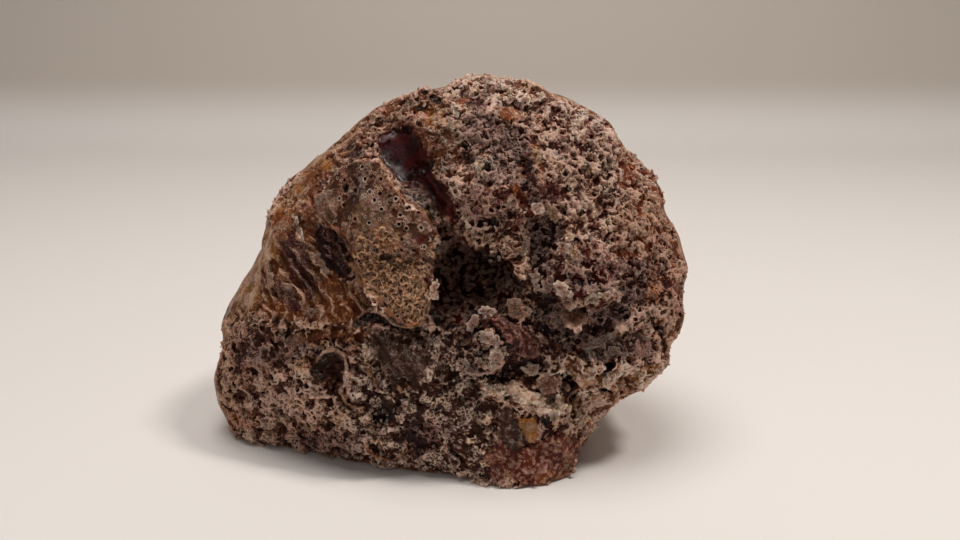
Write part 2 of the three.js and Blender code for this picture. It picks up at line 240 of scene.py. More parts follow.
def cell_node(tree, place, scale, dimensions="3D", feature="F1"):
    inputs = {"Vector": place, "Scale": scale}
    return add_node(tree, "ShaderNodeTexVoronoi", inputs, voronoi_dimensions=dimensions, feature=feature)


def place_from_front(tree, place):
    """The place as the camera's side sees it, across and up."""
    parts = add_node(tree, "ShaderNodeSeparateXYZ", {0: place})
    front = add_node(tree, "ShaderNodeCombineXYZ", {"X": parts.outputs["X"], "Y": parts.outputs["Z"]})
    return front.outputs[0]


# %% The patterns
CLOUD = "cloud"
CELL_EDGE = "cell edge"
CELL_MIDDLE = "cell middle"
CELL_TONE = "cell tone"

# name: (kind, size in mm, which place it reads, octaves of a cloud)
PATTERNS = {
    "swell": (CLOUD, 8.0, "place", 2),
    "lump": (CLOUD, 2.6, "place", 3),
    "grain": (CLOUD, 0.8, "place", 1),
    "rubble": (CLOUD, 1.15, "elsewhere", 2),
    "curl": (CLOUD, 2.3, "wandering", 2),
    "streak": (CLOUD, 1.5, "stretched", 3),
    "rag_across": (CLOUD, 3.0, "place", 5),
    "rag_down": (CLOUD, 3.0, "elsewhere", 5),
    "area": (CLOUD, 13.0, "elsewhere", 2),
    "wall": (CELL_EDGE, 1.6, "wandering", 0),
    "tone": (CELL_TONE, 1.6, "wandering", 0),
    "small_wall": (CELL_EDGE, 0.85, "wandering", 0),
    "small_tone": (CELL_TONE, 0.85, "wandering", 0),
    "bead": (CELL_MIDDLE, 1.2, "wandering", 0),
    "pin": (CELL_MIDDLE, 2.1, "front", 0),
    "pin_tone": (CELL_TONE, 2.1, "front", 0),
    "lace": (CELL_EDGE, 1.5, "wandering front", 0),
}
WANDER = 0.9  # mm that the wandering places stray by
WANDER_SIZE = 1.6
STRAY_SIZE_FRONT = 1.2
ELSEWHERE = (31.0, 17.0, 53.0)
RIB_TURN = math.radians(-52)  # the ribs run down to the right
RIB_STRETCH = 5.0


def pattern_output(tree, pattern, places):
    kind, size, reads, octaves = pattern
    if kind == CLOUD:
        return cloud_node(tree, places[reads], 1 / size, octaves).outputs[0]
    dimensions = "2D" if "front" in reads else "3D"
    feature = "DISTANCE_TO_EDGE" if kind == CELL_EDGE else "F1"
    cells = cell_node(tree, places[reads], 1 / size, dimensions, feature)
    return cells.outputs["Color"] if kind == CELL_TONE else cells.outputs["Distance"]


def strayed(tree, source, size):
    """Places moved about by a cloud, so that cells read there get winding walls."""
    cloud = cloud_node(tree, source, 1 / size, 2.0)
    centred = vector_node(tree, "SUBTRACT", cloud.outputs["Color"], (0.5, 0.5, 0.5))
    scaled = vector_node(tree, "SCALE", centred, Scale=2 * WANDER)
    return vector_node(tree, "ADD", source, scaled)


def moved_elsewhere(tree, place):
    return vector_node(tree, "ADD", place, ELSEWHERE)


def reading_places(tree, place):
    """Where patterns are read: in place, moved, strayed, stretched along the ribs, or from the front."""
    turning = {"Vector": place, "Angle": RIB_TURN}
    turned = add_node(tree, "ShaderNodeVectorRotate", turning, rotation_type="Y_AXIS")
    front = place_from_front(tree, place)
    return {
        "place": place,
        "elsewhere": moved_elsewhere(tree, place),
        "wandering": strayed(tree, place, WANDER_SIZE),
        "stretched": vector_node(tree, "MULTIPLY", turned.outputs[0], (1 / RIB_STRETCH, 1, 1)),
        "front": front,
        "wandering front": strayed(tree, front, STRAY_SIZE_FRONT),
    }


# %% A geometry tree that stores the patterns on points
def points_tree(name):
    """A geometry tree with the flow of points that comes in and the socket that it goes out by."""
    tree = bpy.data.node_groups.new(name, "GeometryNodeTree")
    for way in ("INPUT", "OUTPUT"):
        tree.interface.new_socket("Points", in_out=way, socket_type="NodeSocketGeometry")
    return tree, add_node(tree, "NodeGroupInput").outputs[0], add_node(tree, "NodeGroupOutput").inputs[0]


def stored_on(tree, flow, name, value, kind):
    """The flow of points after a value has been stored on them."""
    inputs = {"Geometry": flow, "Name": name, "Value": value}
    store = add_node(tree, "GeometryNodeStoreNamedAttribute", inputs, data_type=kind, domain="POINT")
    return store.outputs[0]


def pattern_tree():
    tree, flow, end = points_tree("carving_patterns")
    place = add_node(tree, "GeometryNodeInputPosition")
    stored = {}
    for name, output in reading_places(tree, place.outputs[0]).items():
        flow = stored_on(tree, flow, name, output, "FLOAT_VECTOR")
        read = add_node(tree, "GeometryNodeInputNamedAttribute", {"Name": name}, data_type="FLOAT_VECTOR")
        stored[name] = read.outputs["Attribute"]
    for name, pattern in PATTERNS.items():
        flow = stored_on(tree, flow, name, pattern_output(tree, pattern, stored), "FLOAT")
    tree.links.new(flow, end)
    return tree


patterns_on_points = pattern_tree()


def patterns_at(places):
    """Every pattern's value at places in mm."""
    cloud = bpy.data.meshes.new("reading_points")
    cloud.vertices.add(len(places))
    cloud.vertices.foreach_set("co", np.ascontiguousarray(places, np.float32).ravel())
    carrier = in_scene("reading_points", cloud)
    carrier.modifiers.new("patterns", "NODES").node_group = patterns_on_points
    result = carrier.evaluated_get(bpy.context.evaluated_depsgraph_get()).data
    values = {}
    for name in PATTERNS:
        values[name] = np.empty(len(places), np.float32)
        result.attributes[name].data.foreach_get("value", values[name])
    bpy.data.objects.remove(carrier)
    bpy.data.meshes.remove(cloud)
    return values

# %% [markdown]
# Finishes: what each kind of broken surface looks like up close
#
# Each finish turns the patterns into a height in millimetres and a crest value, 1 on crests and 0 in pits.
# The crest value later decides between the pale tone of worn crests and the dark tone of the pits, which is
# partly the stone's own red and partly painted shade in pits, gaps and cracks, so colour and shape always
# agree. They could be painted apart, but then pale flecks would land inside pits.

# %% Number helpers
def ease(low, high, value):
    share = np.clip((value - low) / (high - low), 0, 1)
    return share * share * (3 - 2 * share)


def blend(first, second, share):
    return first + (second - first) * share


# %% Froth, fine froth and rind
LUMP_PULL = 1.0  # how much more of the walls is left on high ground than on low ground


def left_standing(t):
    """Share of the bubble walls that is left: nearly all on swellings, none in the dips between them."""
    return ease(0.4, 0.6, t["rubble"] + LUMP_PULL * (t["lump"] - 0.5))


def froth(t):
    """Burst bubbles: thin walls, broken to ragged heights, round brown floors with small deep holes."""
    wall = 1 - ease(0.03, 0.15, t["wall"])
    small_wall = 1 - ease(0.04, 0.22, t["small_wall"])
    standing = left_standing(t)
    floor = ease(0.2, 0.7, t["tone"])
    hole = (1 - ease(0.24, 0.34, t["small_tone"])) * (1 - small_wall)
    height = -0.6 + 0.4 * floor + 0.95 * wall * (0.2 + 0.9 * standing)
    height += 0.45 * small_wall * (0.1 + 0.9 * standing)
    height += 1.9 * (t["lump"] - 0.5) + 1.2 * (t["swell"] - 0.5) - 0.95 * hole
    crest = 0.12 + 0.18 * floor + wall * (0.05 + 0.85 * standing) + 0.4 * small_wall * standing - 0.5 * hole
    return height, np.clip(crest + 0.4 * (t["lump"] - 0.5), 0, 1)


def fine_froth(t):
    small_wall = 1 - ease(0.04, 0.22, t["small_wall"])
    standing = left_standing(t)
    hole = (1 - ease(0.2, 0.3, t["small_tone"])) * (1 - small_wall)
    height = -0.25 + 0.5 * small_wall * (0.2 + 0.8 * standing) + 1.5 * (t["lump"] - 0.5) - 0.5 * hole
    crest = 0.26 + small_wall * (0.1 + 0.65 * standing) - 0.4 * hole + 0.4 * (t["lump"] - 0.5)
    return height, np.clip(crest, 0, 1)


def rind(t):
    """The nodule's own outer skin: smooth and waxy, with slow dents, fine grooves and a few small pits."""
    pit = (1 - ease(0.12, 0.3, t["bead"])) * ease(0.5, 0.58, t["rubble"])
    groove = (1 - np.clip(np.abs(t["curl"] - 0.5) / 0.02, 0, 1)) * ease(0.48, 0.6, t["streak"])
    height = 1.1 * (t["swell"] - 0.5) + 0.7 * (t["lump"] - 0.5) + 0.12 * (t["grain"] - 0.5)
    height = height - 0.4 * pit - 0.25 * groove
    crest = 0.55 + 1.7 * (t["lump"] - 0.5) + 0.4 * (t["grain"] - 0.5) - 0.7 * pit - 0.5 * groove
    return height, np.clip(crest, 0, 1)


# %% Chips, crumbs and beads
def chips(t):
    """Broken shards at all heights: the high ones are pale and flat, with gaps between them darkened by
    painted shade.
    """
    shard = ease(0.25, 0.9, t["tone"]) * (0.35 + 0.65 * ease(0.01, 0.08, t["wall"]))
    bit = ease(0.4, 0.9, t["small_tone"]) * ease(0.01, 0.1, t["small_wall"])
    unbroken = ease(0.38, 0.56, t["rubble"])
    height = -0.75 + 1.15 * shard * (0.4 + 0.6 * unbroken) + 0.5 * bit + 2.0 * (t["lump"] - 0.5)
    return height, np.clip(0.05 + 0.75 * shard * unbroken + 0.35 * bit, 0, 1)


def crumbs(t):
    """Small shards and grains with gaps."""
    bit = ease(0.3, 0.9, t["small_tone"]) * (0.3 + 0.7 * ease(0.01, 0.1, t["small_wall"]))
    gap = ease(0.08, 0.28, t["wall"]) * ease(0.35, 0.7, t["tone"])
    unbroken = ease(0.36, 0.6, t["rubble"])
    height = -0.35 + 0.85 * bit * (0.4 + 0.7 * unbroken) + 1.9 * (t["lump"] - 0.5) - 1.0 * gap
    return height, np.clip(0.08 + 0.9 * bit * (0.3 + 0.7 * unbroken) - 0.7 * gap, 0, 1)


def cracked(t):
    """A pale crust in thin pieces, each a little higher or lower, with cracks between darkened by painted
    shade.
    """
    crack = 1 - ease(0.02, 0.09, t["wall"])
    small_crack = (1 - ease(0.02, 0.1, t["small_wall"])) * ease(0.45, 0.6, t["rubble"])
    height = 0.45 * t["tone"] + 0.12 * t["small_tone"] - 0.25 - 0.5 * crack - 0.25 * small_crack
    height += 1.2 * (t["lump"] - 0.5)
    crest = 0.65 + 0.5 * t["tone"] + 0.2 * t["small_tone"] - 0.8 * crack - 0.5 * small_crack
    return height, np.clip(crest, 0, 1)


def beads(t):
    dome = np.sqrt(np.clip(1 - (t["bead"] / 0.62) ** 2, 0, 1))
    return -0.35 + 0.75 * dome + 1.5 * (t["lump"] - 0.5), dome


# %% Plate, lace and smooth chalcedony
def plate(t):
    """A thin dull film with a pale edge, worn through to clear stone, and pinholes with raised rims."""
    open_hole = t["pin_tone"] > 0.4
    hole = (1 - ease(0.08, 0.13, t["pin"])) * open_hole
    ring = np.exp(-((t["pin"] - 0.19) / 0.045) ** 2) * open_hole
    film = ease(0.47, 0.5, t["curl"])
    film_edge = np.exp(-((t["curl"] - 0.485) / 0.014) ** 2)
    dent = ease(0.57, 0.66, t["rubble"])
    height = 0.9 * (t["swell"] - 0.5) + 0.7 * (t["lump"] - 0.5) + 0.2 * film + 0.14 * film_edge
    height += 0.14 * ring - 1.1 * hole - 0.3 * dent
    crest = 0.15 + 0.5 * film + 0.35 * film_edge + 1.2 * (t["lump"] - 0.5) + 0.4 * ring - hole - 0.3 * dent
    return height, np.clip(crest, 0, 1)


def lace(t):
    wall = 1 - ease(0.03, 0.12, t["lace"])
    fine = 1 - ease(0.04, 0.16, t["small_wall"])
    unbroken = ease(0.36, 0.54, t["rubble"])
    hole = (1 - ease(0.16, 0.24, t["small_tone"])) * (1 - fine)
    height = -0.3 + 0.5 * wall * (0.4 + 0.6 * unbroken) + 0.25 * fine * unbroken + 1.0 * (t["lump"] - 0.5)
    height += 0.8 * (t["swell"] - 0.5) - 0.6 * hole
    crest = 0.22 + 0.5 * wall * (0.4 + 0.6 * unbroken) + 0.4 * fine * unbroken - 0.3 * hole
    return height, np.clip(crest, 0, 1)


def smooth(t):
    return 0.5 * (t["lump"] - 0.5), np.clip(0.5 + 1.4 * (t["lump"] - 0.5), 0, 1)


# %% Ribs, streaks, curls and grain
RIB_SPACING = 2.1


def ribs(t):
    """Layers of the nodule seen edge on: brown bands between thin pale ridges that break off in places."""
    layer = np.mod((t["rib_place"] + 6 * (t["swell"] - 0.5) + 3 * (t["lump"] - 0.5)) / RIB_SPACING, 1)
    ridge = np.exp(-((layer - 0.8) / 0.1) ** 2) * ease(0.42, 0.54, t["streak"])
    fine = np.exp(-((np.mod(3 * layer + 0.4, 1) - 0.5) / 0.16) ** 2) * ease(0.45, 0.6, t["rubble"])
    height = -0.4 + 0.4 * layer + 0.75 * ridge + 0.15 * fine
    height = height + 1.1 * (t["streak"] - 0.5) + 1.3 * (t["lump"] - 0.5)
    return height, np.clip(0.2 + 0.2 * layer + 0.7 * ridge + 0.3 * fine + 1.2 * (t["streak"] - 0.5), 0, 1)


def streaks(t):
    height = 1.6 * (t["streak"] - 0.5) + 0.3 * (t["grain"] - 0.5)
    return height, np.clip(0.5 + 2.6 * (t["streak"] - 0.5), 0, 1)


def curls(t):
    crest = 1 - np.clip(np.abs(t["curl"] - 0.5) / 0.028, 0, 1)
    small_wall = 1 - ease(0.03, 0.16, t["small_wall"])
    standing = left_standing(t)
    hole = (1 - ease(0.26, 0.34, t["small_tone"])) * (1 - small_wall)
    height = -0.35 + 0.7 * crest * (0.3 + 0.7 * standing) + 0.35 * small_wall * standing
    height += 2.6 * (t["lump"] - 0.5)
    height += 1.6 * (t["swell"] - 0.5) - 0.5 * hole
    crest = 0.16 + 0.75 * crest * (0.3 + 0.7 * standing) + 0.5 * small_wall * standing - 0.4 * hole
    return height, np.clip(crest + 0.7 * (t["lump"] - 0.5), 0, 1)


def grainy(t):
    height = 0.6 * (t["grain"] - 0.5) + 0.9 * (t["lump"] - 0.5)
    return height, np.clip(0.45 + 1.8 * (t["grain"] - 0.5) + (t["lump"] - 0.5), 0, 1)


FINISHES = {
    "froth": froth,
    "fine froth": fine_froth,
    "rind": rind,
    "chips": chips,
    "crumbs": crumbs,
    "cracked": cracked,
    "beads": beads,
    "plate": plate,
    "lace": lace,
    "smooth": smooth,
    "ribs": ribs,
    "streaks": streaks,
    "curls": curls,
    "grainy": grainy,
}
print(len(PATTERNS), "patterns make", len(FINISHES), "finishes")

# %% [markdown]
# The map of the broken front
#
# The front isn't one surface but over a hundred patches, each with its own finish and colours. Each zone
# below is an outline, an oval or a path in the photograph's pixels, with the tones of its crests and pits.
# Zones are laid over each other in order, like coats of paint, and their edges are made ragged by a cloud
# pattern. An image could be projected instead, but it would carry the photograph's light and stretch on the
# sides.

# %% Tones, as seen on the stone (red, green, blue of 255)
TONES = {
    "crest": (204, 166, 146),
    "pit": (60, 18, 9),
    "pale": (230, 200, 182),
    "white": (255, 230, 208),
    "tan": (184, 142, 116),
    "lace": (196, 148, 110),
    "film": (116, 75, 54),
    "window": (64, 35, 22),
    "lobe": (164, 130, 112),
    "rind": (182, 150, 126),
    "rind shade": (112, 74, 54),
    "rose": (150, 106, 90),
    "violet": (152, 116, 105),
    "shade": (88, 52, 43),
    "olive": (108, 86, 70),
    "grey": (120, 100, 90),
    "brown": (88, 46, 27),
    "dark brown": (54, 23, 12),
    "amber": (134, 90, 58),
    "ochre": (168, 128, 92),
    "orange": (168, 112, 80),
    "rust": (100, 48, 33),
    "maroon": (50, 8, 9),
    "wine": (78, 26, 20),
    "mauve": (118, 74, 62),
    "bowl": (68, 12, 12),
    "indigo": (34, 12, 16),
    "dusk": (40, 13, 9),
    "black": (14, 5, 5),
}


def linear(tone):
    """A tone as the light it sends back, red, green and blue from 0 to 1."""
    share = np.array(tone, np.float32) / 255
    return np.where(share <= 0.04045, share / 12.92, ((share + 0.055) / 1.055) ** 2.4)


# %% How a zone is written down
ZONES = []
BASE_GLOSS = 0.25
RAGGED_PULL = 2.2  # how far a zone's edge is pulled about, in units of its raggedness
RAGGED_REACH = 1.6  # how far outside its outline a zone is looked for, in the same units


def pixel_reach(points, margin):
    """Left, right, upper and lower pixel of the box round some points."""
    across = [point[0] for point in points]
    down = [point[1] for point in points]
    return min(across) - margin, max(across) + margin, min(down) - margin, max(down) + margin


def zone(name, finish, crest, pit, outline=None, path=None, width=0, gloss=BASE_GLOSS, edge=2.0, ragged=5.0,
         raised=0.0, rind=True):
    """Lengths are pixels of the photograph, raised is mm, and rind is False where the outline has no skin."""
    ZONES.append({
        "name": name, "finish": finish, "crest": crest, "pit": pit, "outline": outline, "path": path,
        "width": width, "gloss": gloss, "edge": edge, "ragged": ragged, "raised": raised, "rind": rind,
        "reach": pixel_reach(outline or path, width + edge + RAGGED_REACH * ragged),
    })


def oval(across, down, wide, tall, turn=0):
    """Outline of an oval with half sizes wide and tall, turned clockwise by turn degrees."""
    angles = np.linspace(0, 2 * math.pi, 16, endpoint=False)
    cosine = math.cos(math.radians(turn))
    sine = math.sin(math.radians(turn))
    return [
        (across + wide * math.cos(a) * cosine - tall * math.sin(a) * sine,
         down + wide * math.cos(a) * sine + tall * math.sin(a) * cosine)
        for a in angles
    ]


# %% Right dome and top
zone("dome_rim_tan", "froth", "tan", "rust", path=[(560, 92), (612, 130), (655, 185), (682, 262),
     (686, 320)], width=16, edge=14, gloss=0.35)
zone("dome_rust", "froth", "crest", "rust", outline=oval(628, 172, 20, 40, -32), edge=16, ragged=9,
     gloss=0.35)
# The top cap's pale crest tone is partly its own colour and partly painted light from above.
zone("top_cap", "froth", "pale", "brown", outline=oval(500, 90, 48, 14, 6), edge=5, gloss=0.4, raised=0.2,
     rind=False)
zone("rose_top", "froth", "pale", "wine", outline=oval(590, 120, 40, 22, 30), edge=10)
zone("dome_dark_pits", "froth", "crest", "maroon", outline=oval(588, 165, 34, 34, 20), edge=12)
zone("dome_low", "froth", "tan", "rust", outline=oval(640, 235, 30, 45, 10), edge=12)
zone("smooth_lens", "smooth", "tan", "rust", outline=oval(510, 112, 11, 6, 5), gloss=0.5, raised=0.2)
zone("red_notch", "grainy", "rust", "maroon", outline=oval(477, 106, 11, 7, 10), gloss=0.45)
zone("orange_lens", "smooth", "orange", "rust", outline=oval(461, 101, 8, 3.5, 0), gloss=0.6, raised=0.3)
zone("amber_under_top", "fine froth", "olive", "brown", outline=oval(449, 150, 15, 24, 10), edge=5,
     gloss=0.5)
zone("amber_strip", "fine froth", "ochre", "rust", outline=[(529, 144), (541, 143), (545, 178), (538, 184),
     (529, 180)], gloss=0.45, ragged=3)
zone("rust_strip", "grainy", "rust", "maroon", outline=oval(551, 191, 14, 9, 35), gloss=0.45)

# %% Middle: froth, valley, lump and the dark gap
zone("violet_froth", "froth", "violet", "dusk", outline=[(466, 112), (480, 106), (500, 122), (520, 140),
     (522, 180), (500, 186), (478, 178), (462, 150)], edge=4, gloss=0.35, raised=-0.2)
zone("ring_round_pit", "cracked", "pale", "brown", outline=oval(484, 164, 11, 9, 30), gloss=0.4, edge=2.5,
     ragged=7, raised=0.3)
# The pit in the ring is set in and given a black pit tone, partly painted shade.
zone("pit_in_ring", "crumbs", "dusk", "black", outline=oval(487, 166, 4.5, 4), edge=2, ragged=4,
     raised=-0.9)
zone("long_valley", "froth", "shade", "maroon", path=[(500, 126), (518, 144), (530, 166), (531, 200)],
     width=8, edge=5, gloss=0.5, raised=-0.4)
zone("dark_gap", "froth", "shade", "indigo", outline=[(530, 216), (546, 212), (562, 220), (566, 240),
     (560, 262), (545, 275), (532, 262), (526, 236)], edge=4, gloss=0.4, raised=-0.7)
zone("rust_lump", "froth", "rose", "pit", outline=[(464, 188), (490, 184), (516, 182), (526, 196),
     (530, 212), (522, 226), (500, 226), (476, 224), (456, 208)], edge=3, gloss=0.4)
zone("lump_crest", "cracked", "pale", "rose", path=[(462, 192), (470, 186), (484, 188), (498, 185),
     (512, 186)], width=2.2, edge=2, ragged=5, raised=0.3)
# The lump's hollow is set in and given a black pit tone, partly painted shade.
zone("lump_hollow", "crumbs", "wine", "black", outline=oval(488, 222, 12, 5, 10), edge=2, raised=-0.7)
zone("lump_edge_pale", "chips", "pale", "rust", path=[(512, 186), (522, 198), (526, 214), (538, 212)],
     width=4, gloss=0.4)
zone("orange_spot", "smooth", "orange", "rust", outline=oval(516, 189, 5, 6, 20), gloss=0.5, edge=1.5)
zone("tan_ringlets", "froth", "tan", "dark brown", outline=[(442, 216), (456, 222), (470, 232), (492, 238),
     (512, 240), (528, 250), (520, 262), (500, 264), (484, 266), (466, 252), (450, 240), (440, 226)],
     edge=2.5, gloss=0.35)

# %% Flakes, indigo valley and right rim
zone("flake_bed", "froth", "violet", "wine", outline=[(545, 262), (560, 246), (590, 240), (616, 256),
     (618, 290), (600, 304), (580, 300), (562, 302), (548, 290)], edge=4, gloss=0.35, raised=0.1)
zone("flake_bed_gaps", "froth", "shade", "black", outline=oval(586, 282, 12, 6, -10), edge=3, raised=-0.6)
zone("red_above_rim", "froth", "rust", "maroon", outline=oval(636, 270, 26, 12, 8), edge=7, gloss=0.4)
zone("indigo_valley", "froth", "shade", "indigo", outline=[(534, 292), (556, 296), (566, 312), (590, 318),
     (618, 300), (640, 300), (626, 322), (596, 338), (570, 350), (552, 346), (538, 326)], edge=7, ragged=7,
     gloss=0.4, raised=-0.5)
zone("orange_rim", "froth", "orange", "maroon", outline=oval(656, 292, 18, 12, 10), edge=8, gloss=0.45)
zone("rim_shade", "froth", "shade", "maroon", outline=oval(634, 286, 16, 14, 0), edge=8, ragged=7,
     gloss=0.4)
zone("orange_patch", "smooth", "orange", "rust", outline=oval(650, 294, 7, 6, 0), edge=2, gloss=0.5,
     raised=0.3)
zone("rim_low", "froth", "tan", "brown", outline=oval(676, 325, 18, 26, 8), edge=8)
zone("grey_slab", "ribs", "grey", "dusk", outline=[(580, 352), (596, 340), (616, 334), (634, 338),
     (630, 352), (616, 358), (600, 366), (586, 368)], edge=4, ragged=6, gloss=0.4)
zone("slab_crest", "grainy", "pale", "grey", path=[(584, 345), (600, 338), (618, 330)], width=2, edge=1.5)
zone("wide_slab", "fine froth", "mauve", "dusk", outline=oval(636, 345, 16, 14, 10), edge=6)
# The crack is set in and given a black pit tone, partly painted shade.
zone("crack", "grainy", "maroon", "black", path=[(648, 314), (655, 326), (662, 338), (665, 347)], width=1.1,
     edge=1, ragged=2, raised=-0.8)

# %% Lower right: pits, yellow patch, white froth and the foot
zone("low_right_tan", "froth", "pale", "amber", outline=[(560, 368), (600, 366), (640, 362), (664, 366),
     (640, 396), (612, 414), (590, 428), (572, 420), (556, 396)], edge=6, gloss=0.3, rind=False, raised=0.2)
zone("yellow_patch", "froth", "ochre", "brown", outline=oval(624, 391, 14, 12, -20), edge=4, gloss=0.4)
# These small pits are set in and given black pit tones, partly painted shade.
zone("dark_pit_right", "smooth", "dusk", "black", outline=oval(610, 364, 6, 6), edge=1.5, ragged=2,
     gloss=0.6, raised=-1.1)
zone("dark_pit_low", "crumbs", "brown", "black", outline=oval(606, 392, 8, 3, 20), edge=1.5, ragged=2,
     raised=-0.9)
zone("rose_knob", "fine froth", "crest", "brown", outline=oval(596, 405, 16, 12, -15), edge=3, raised=0.7)
zone("tan_facet", "grainy", "crest", "mauve", outline=oval(550, 386, 11, 11, 20), edge=2, gloss=0.4,
     raised=0.5)
zone("tan_facet_right", "grainy", "pale", "tan", outline=oval(588, 380, 8, 9, 10), edge=2, gloss=0.4,
     raised=0.4)
zone("grey_pits", "crumbs", "grey", "dusk", outline=oval(570, 390, 9, 13, 5), edge=2, gloss=0.5)
zone("white_crescent", "smooth", "white", "pale", path=[(558, 396), (559, 403), (563, 408)], width=1.8,
     edge=1, ragged=1, gloss=0.6, raised=0.35)
# The white froth and cracked crust are a whitish crust, made paler still as painted light where the ledge
# catches it.
zone("white_froth_with_painted_light", "cracked", "white", "tan", path=[(486, 382), (500, 386), (518, 392), (538, 401),
     (556, 414)], width=9, edge=5, ragged=7, gloss=0.2, raised=0.5)
zone("cracked_crust_with_painted_light", "froth", "white", "pale", path=[(498, 386), (514, 390), (528, 396), (542, 405),
     (554, 416)], width=5, edge=3, ragged=6, gloss=0.2, raised=0.7)
zone("crust_shadow", "crumbs", "brown", "black", path=[(486, 376), (502, 380), (520, 384), (538, 392)],
     width=2, edge=2, raised=-0.7)
zone("dark_window", "crumbs", "brown", "black", outline=oval(546, 418, 6, 6, 0), edge=1.5, gloss=0.5)
zone("foot_body", "grainy", "rose", "wine", outline=[(488, 440), (530, 444), (560, 436), (584, 440),
     (576, 462), (556, 482), (530, 488), (496, 480), (480, 470)], edge=6, ragged=7, gloss=0.45, rind=False)
zone("foot_orange", "grainy", "orange", "rust", path=[(540, 484), (560, 476), (570, 464)], width=6, edge=6,
     gloss=0.5)
zone("granular_facet", "grainy", "window", "dark brown", outline=[(490, 410), (514, 408), (524, 428),
     (530, 444), (514, 454), (500, 440)], ragged=3, gloss=0.35)
zone("amber_facet", "smooth", "ochre", "amber", outline=[(517, 417), (534, 417), (539, 434), (530, 445),
     (523, 432)], ragged=2, edge=1.5, gloss=0.6, raised=0.25)

# %% Lower lip of the hollow
zone("lip_floor", "crumbs", "brown", "dusk", outline=[(452, 330), (470, 322), (500, 318), (540, 340),
     (548, 366), (530, 382), (480, 384), (452, 370)], edge=5, gloss=0.4)
zone("mauve_body", "streaks", "mauve", "maroon", outline=[(486, 316), (500, 318), (516, 326), (528, 334),
     (540, 347), (541, 356), (530, 358), (516, 350), (504, 340), (494, 328)], edge=2.5, ragged=6, gloss=0.5,
     raised=0.2)
zone("mauve_crest", "grainy", "pale", "mauve", path=[(486, 318), (498, 322), (506, 329)], width=1.2, edge=1,
     ragged=4, gloss=0.5, raised=0.15)
zone("fan_crest", "streaks", "tan", "brown", outline=[(506, 300), (515, 299), (522, 308), (526, 316),
     (514, 318), (506, 314)], ragged=2, edge=1.5, raised=0.6)
zone("lip_flakes", "chips", "pale", "brown", outline=[(466, 326), (472, 316), (480, 306), (492, 306),
     (500, 314), (490, 318), (480, 322), (472, 332)], edge=1.5, ragged=3, gloss=0.45, raised=0.4)
zone("pale_lump", "froth", "crest", "dark brown", outline=[(478, 334), (492, 332), (504, 342), (507, 356),
     (498, 368), (484, 376), (464, 373), (457, 360), (468, 346)], edge=3, gloss=0.35, raised=0.5)
# The eye in the pale lump is set in and given a black pit tone, partly painted shade.
zone("pale_lump_eye", "froth", "brown", "black", outline=oval(480, 356, 7, 8, 20), edge=3, raised=-0.5)

# %% The bowl, its pit and the valley under it
zone("shoulder", "froth", "tan", "brown", outline=[(343, 134), (370, 112), (400, 98), (436, 94), (450, 100),
     (440, 124), (424, 134), (400, 122), (380, 132), (362, 152)], edge=6, gloss=0.4)
zone("shoulder_amber", "fine froth", "tan", "amber", outline=oval(430, 116, 14, 10, 20), edge=5, gloss=0.4)
# The dark hollow, slots and slit of the shoulder are set in and given black pit tones, partly painted shade.
zone("shoulder_dark", "grainy", "rust", "black", outline=oval(352, 152, 9, 8, -30), edge=3, raised=-0.4)
zone("black_slot", "grainy", "dusk", "black", outline=oval(436, 100, 7, 5, 10), edge=1.5, ragged=3,
     raised=-0.8)
zone("black_slot_small", "grainy", "dusk", "black", outline=oval(422, 108, 3.4, 4, 0), edge=1.5, ragged=3,
     raised=-0.8)
zone("shoulder_slit", "grainy", "dark brown", "black", path=[(396, 110), (404, 104), (412, 100)], width=2,
     edge=1, raised=-0.7)
zone("bowl_lip", "grainy", "mauve", "brown", path=[(382, 140), (392, 126), (406, 122), (420, 132),
     (430, 150)], width=4, edge=2, gloss=0.5, raised=0.3)
zone("bowl_valley", "streaks", "wine", "indigo", outline=[(416, 166), (430, 160), (440, 180), (450, 200),
     (456, 216), (446, 226), (438, 212), (424, 196), (410, 186)], edge=4, gloss=0.75, raised=-0.4)
zone("red_bowl", "smooth", "bowl", "black", outline=[(380, 136), (391, 129), (405, 127), (416, 134),
     (422, 146), (428, 154), (434, 164), (431, 175), (417, 183), (403, 183), (391, 173), (381, 160),
     (378, 146)], edge=2, ragged=2, gloss=0.95, raised=-0.5)
# The bowl's pit is set in and given a black pit tone, partly painted shade.
zone("bowl_pit", "smooth", "maroon", "black", outline=oval(407, 129, 6, 5, 30), edge=1.5, ragged=2,
     gloss=0.8, raised=-0.5)
zone("bowl_glint", "crumbs", "grey", "dusk", outline=oval(421, 174, 7, 4, 20), edge=2, gloss=0.8)
zone("valley_lace", "fine froth", "grey", "indigo", outline=[(402, 186), (412, 188), (424, 196), (434, 206),
     (440, 216), (430, 214), (414, 206), (404, 196)], edge=4, gloss=0.5)

# %% Left slope and recess
zone("left_slope", "ribs", "tan", "brown", outline=[(236, 292), (260, 240), (282, 204), (312, 168),
     (340, 150), (340, 176), (318, 190), (318, 222), (318, 246), (326, 268), (346, 280), (372, 306),
     (352, 330), (300, 322), (260, 318), (232, 320)], edge=6, gloss=0.4)
zone("slope_shade", "ribs", "brown", "maroon", outline=oval(300, 262, 13, 38, -24), edge=10, ragged=8,
     gloss=0.4)
zone("left_rind", "rind", "rind", "amber", path=[(322, 162), (304, 182), (288, 206), (274, 232), (262, 256),
     (246, 284), (230, 310), (218, 342)], width=9, edge=6, gloss=0.45)
zone("amber_high", "rind", "amber", "rust", outline=oval(312, 180, 16, 8, -55), edge=5, gloss=0.55)
zone("amber_upper", "fine froth", "ochre", "rust", outline=oval(293, 208, 13, 7, -50), edge=5, gloss=0.5)
zone("amber_middle", "rind", "amber", "rust", outline=oval(283, 228, 9, 15, 14), edge=5, gloss=0.5)
zone("maroon_seams", "streaks", "rust", "maroon", outline=oval(284, 292, 22, 7, 50), edge=4, gloss=0.5)
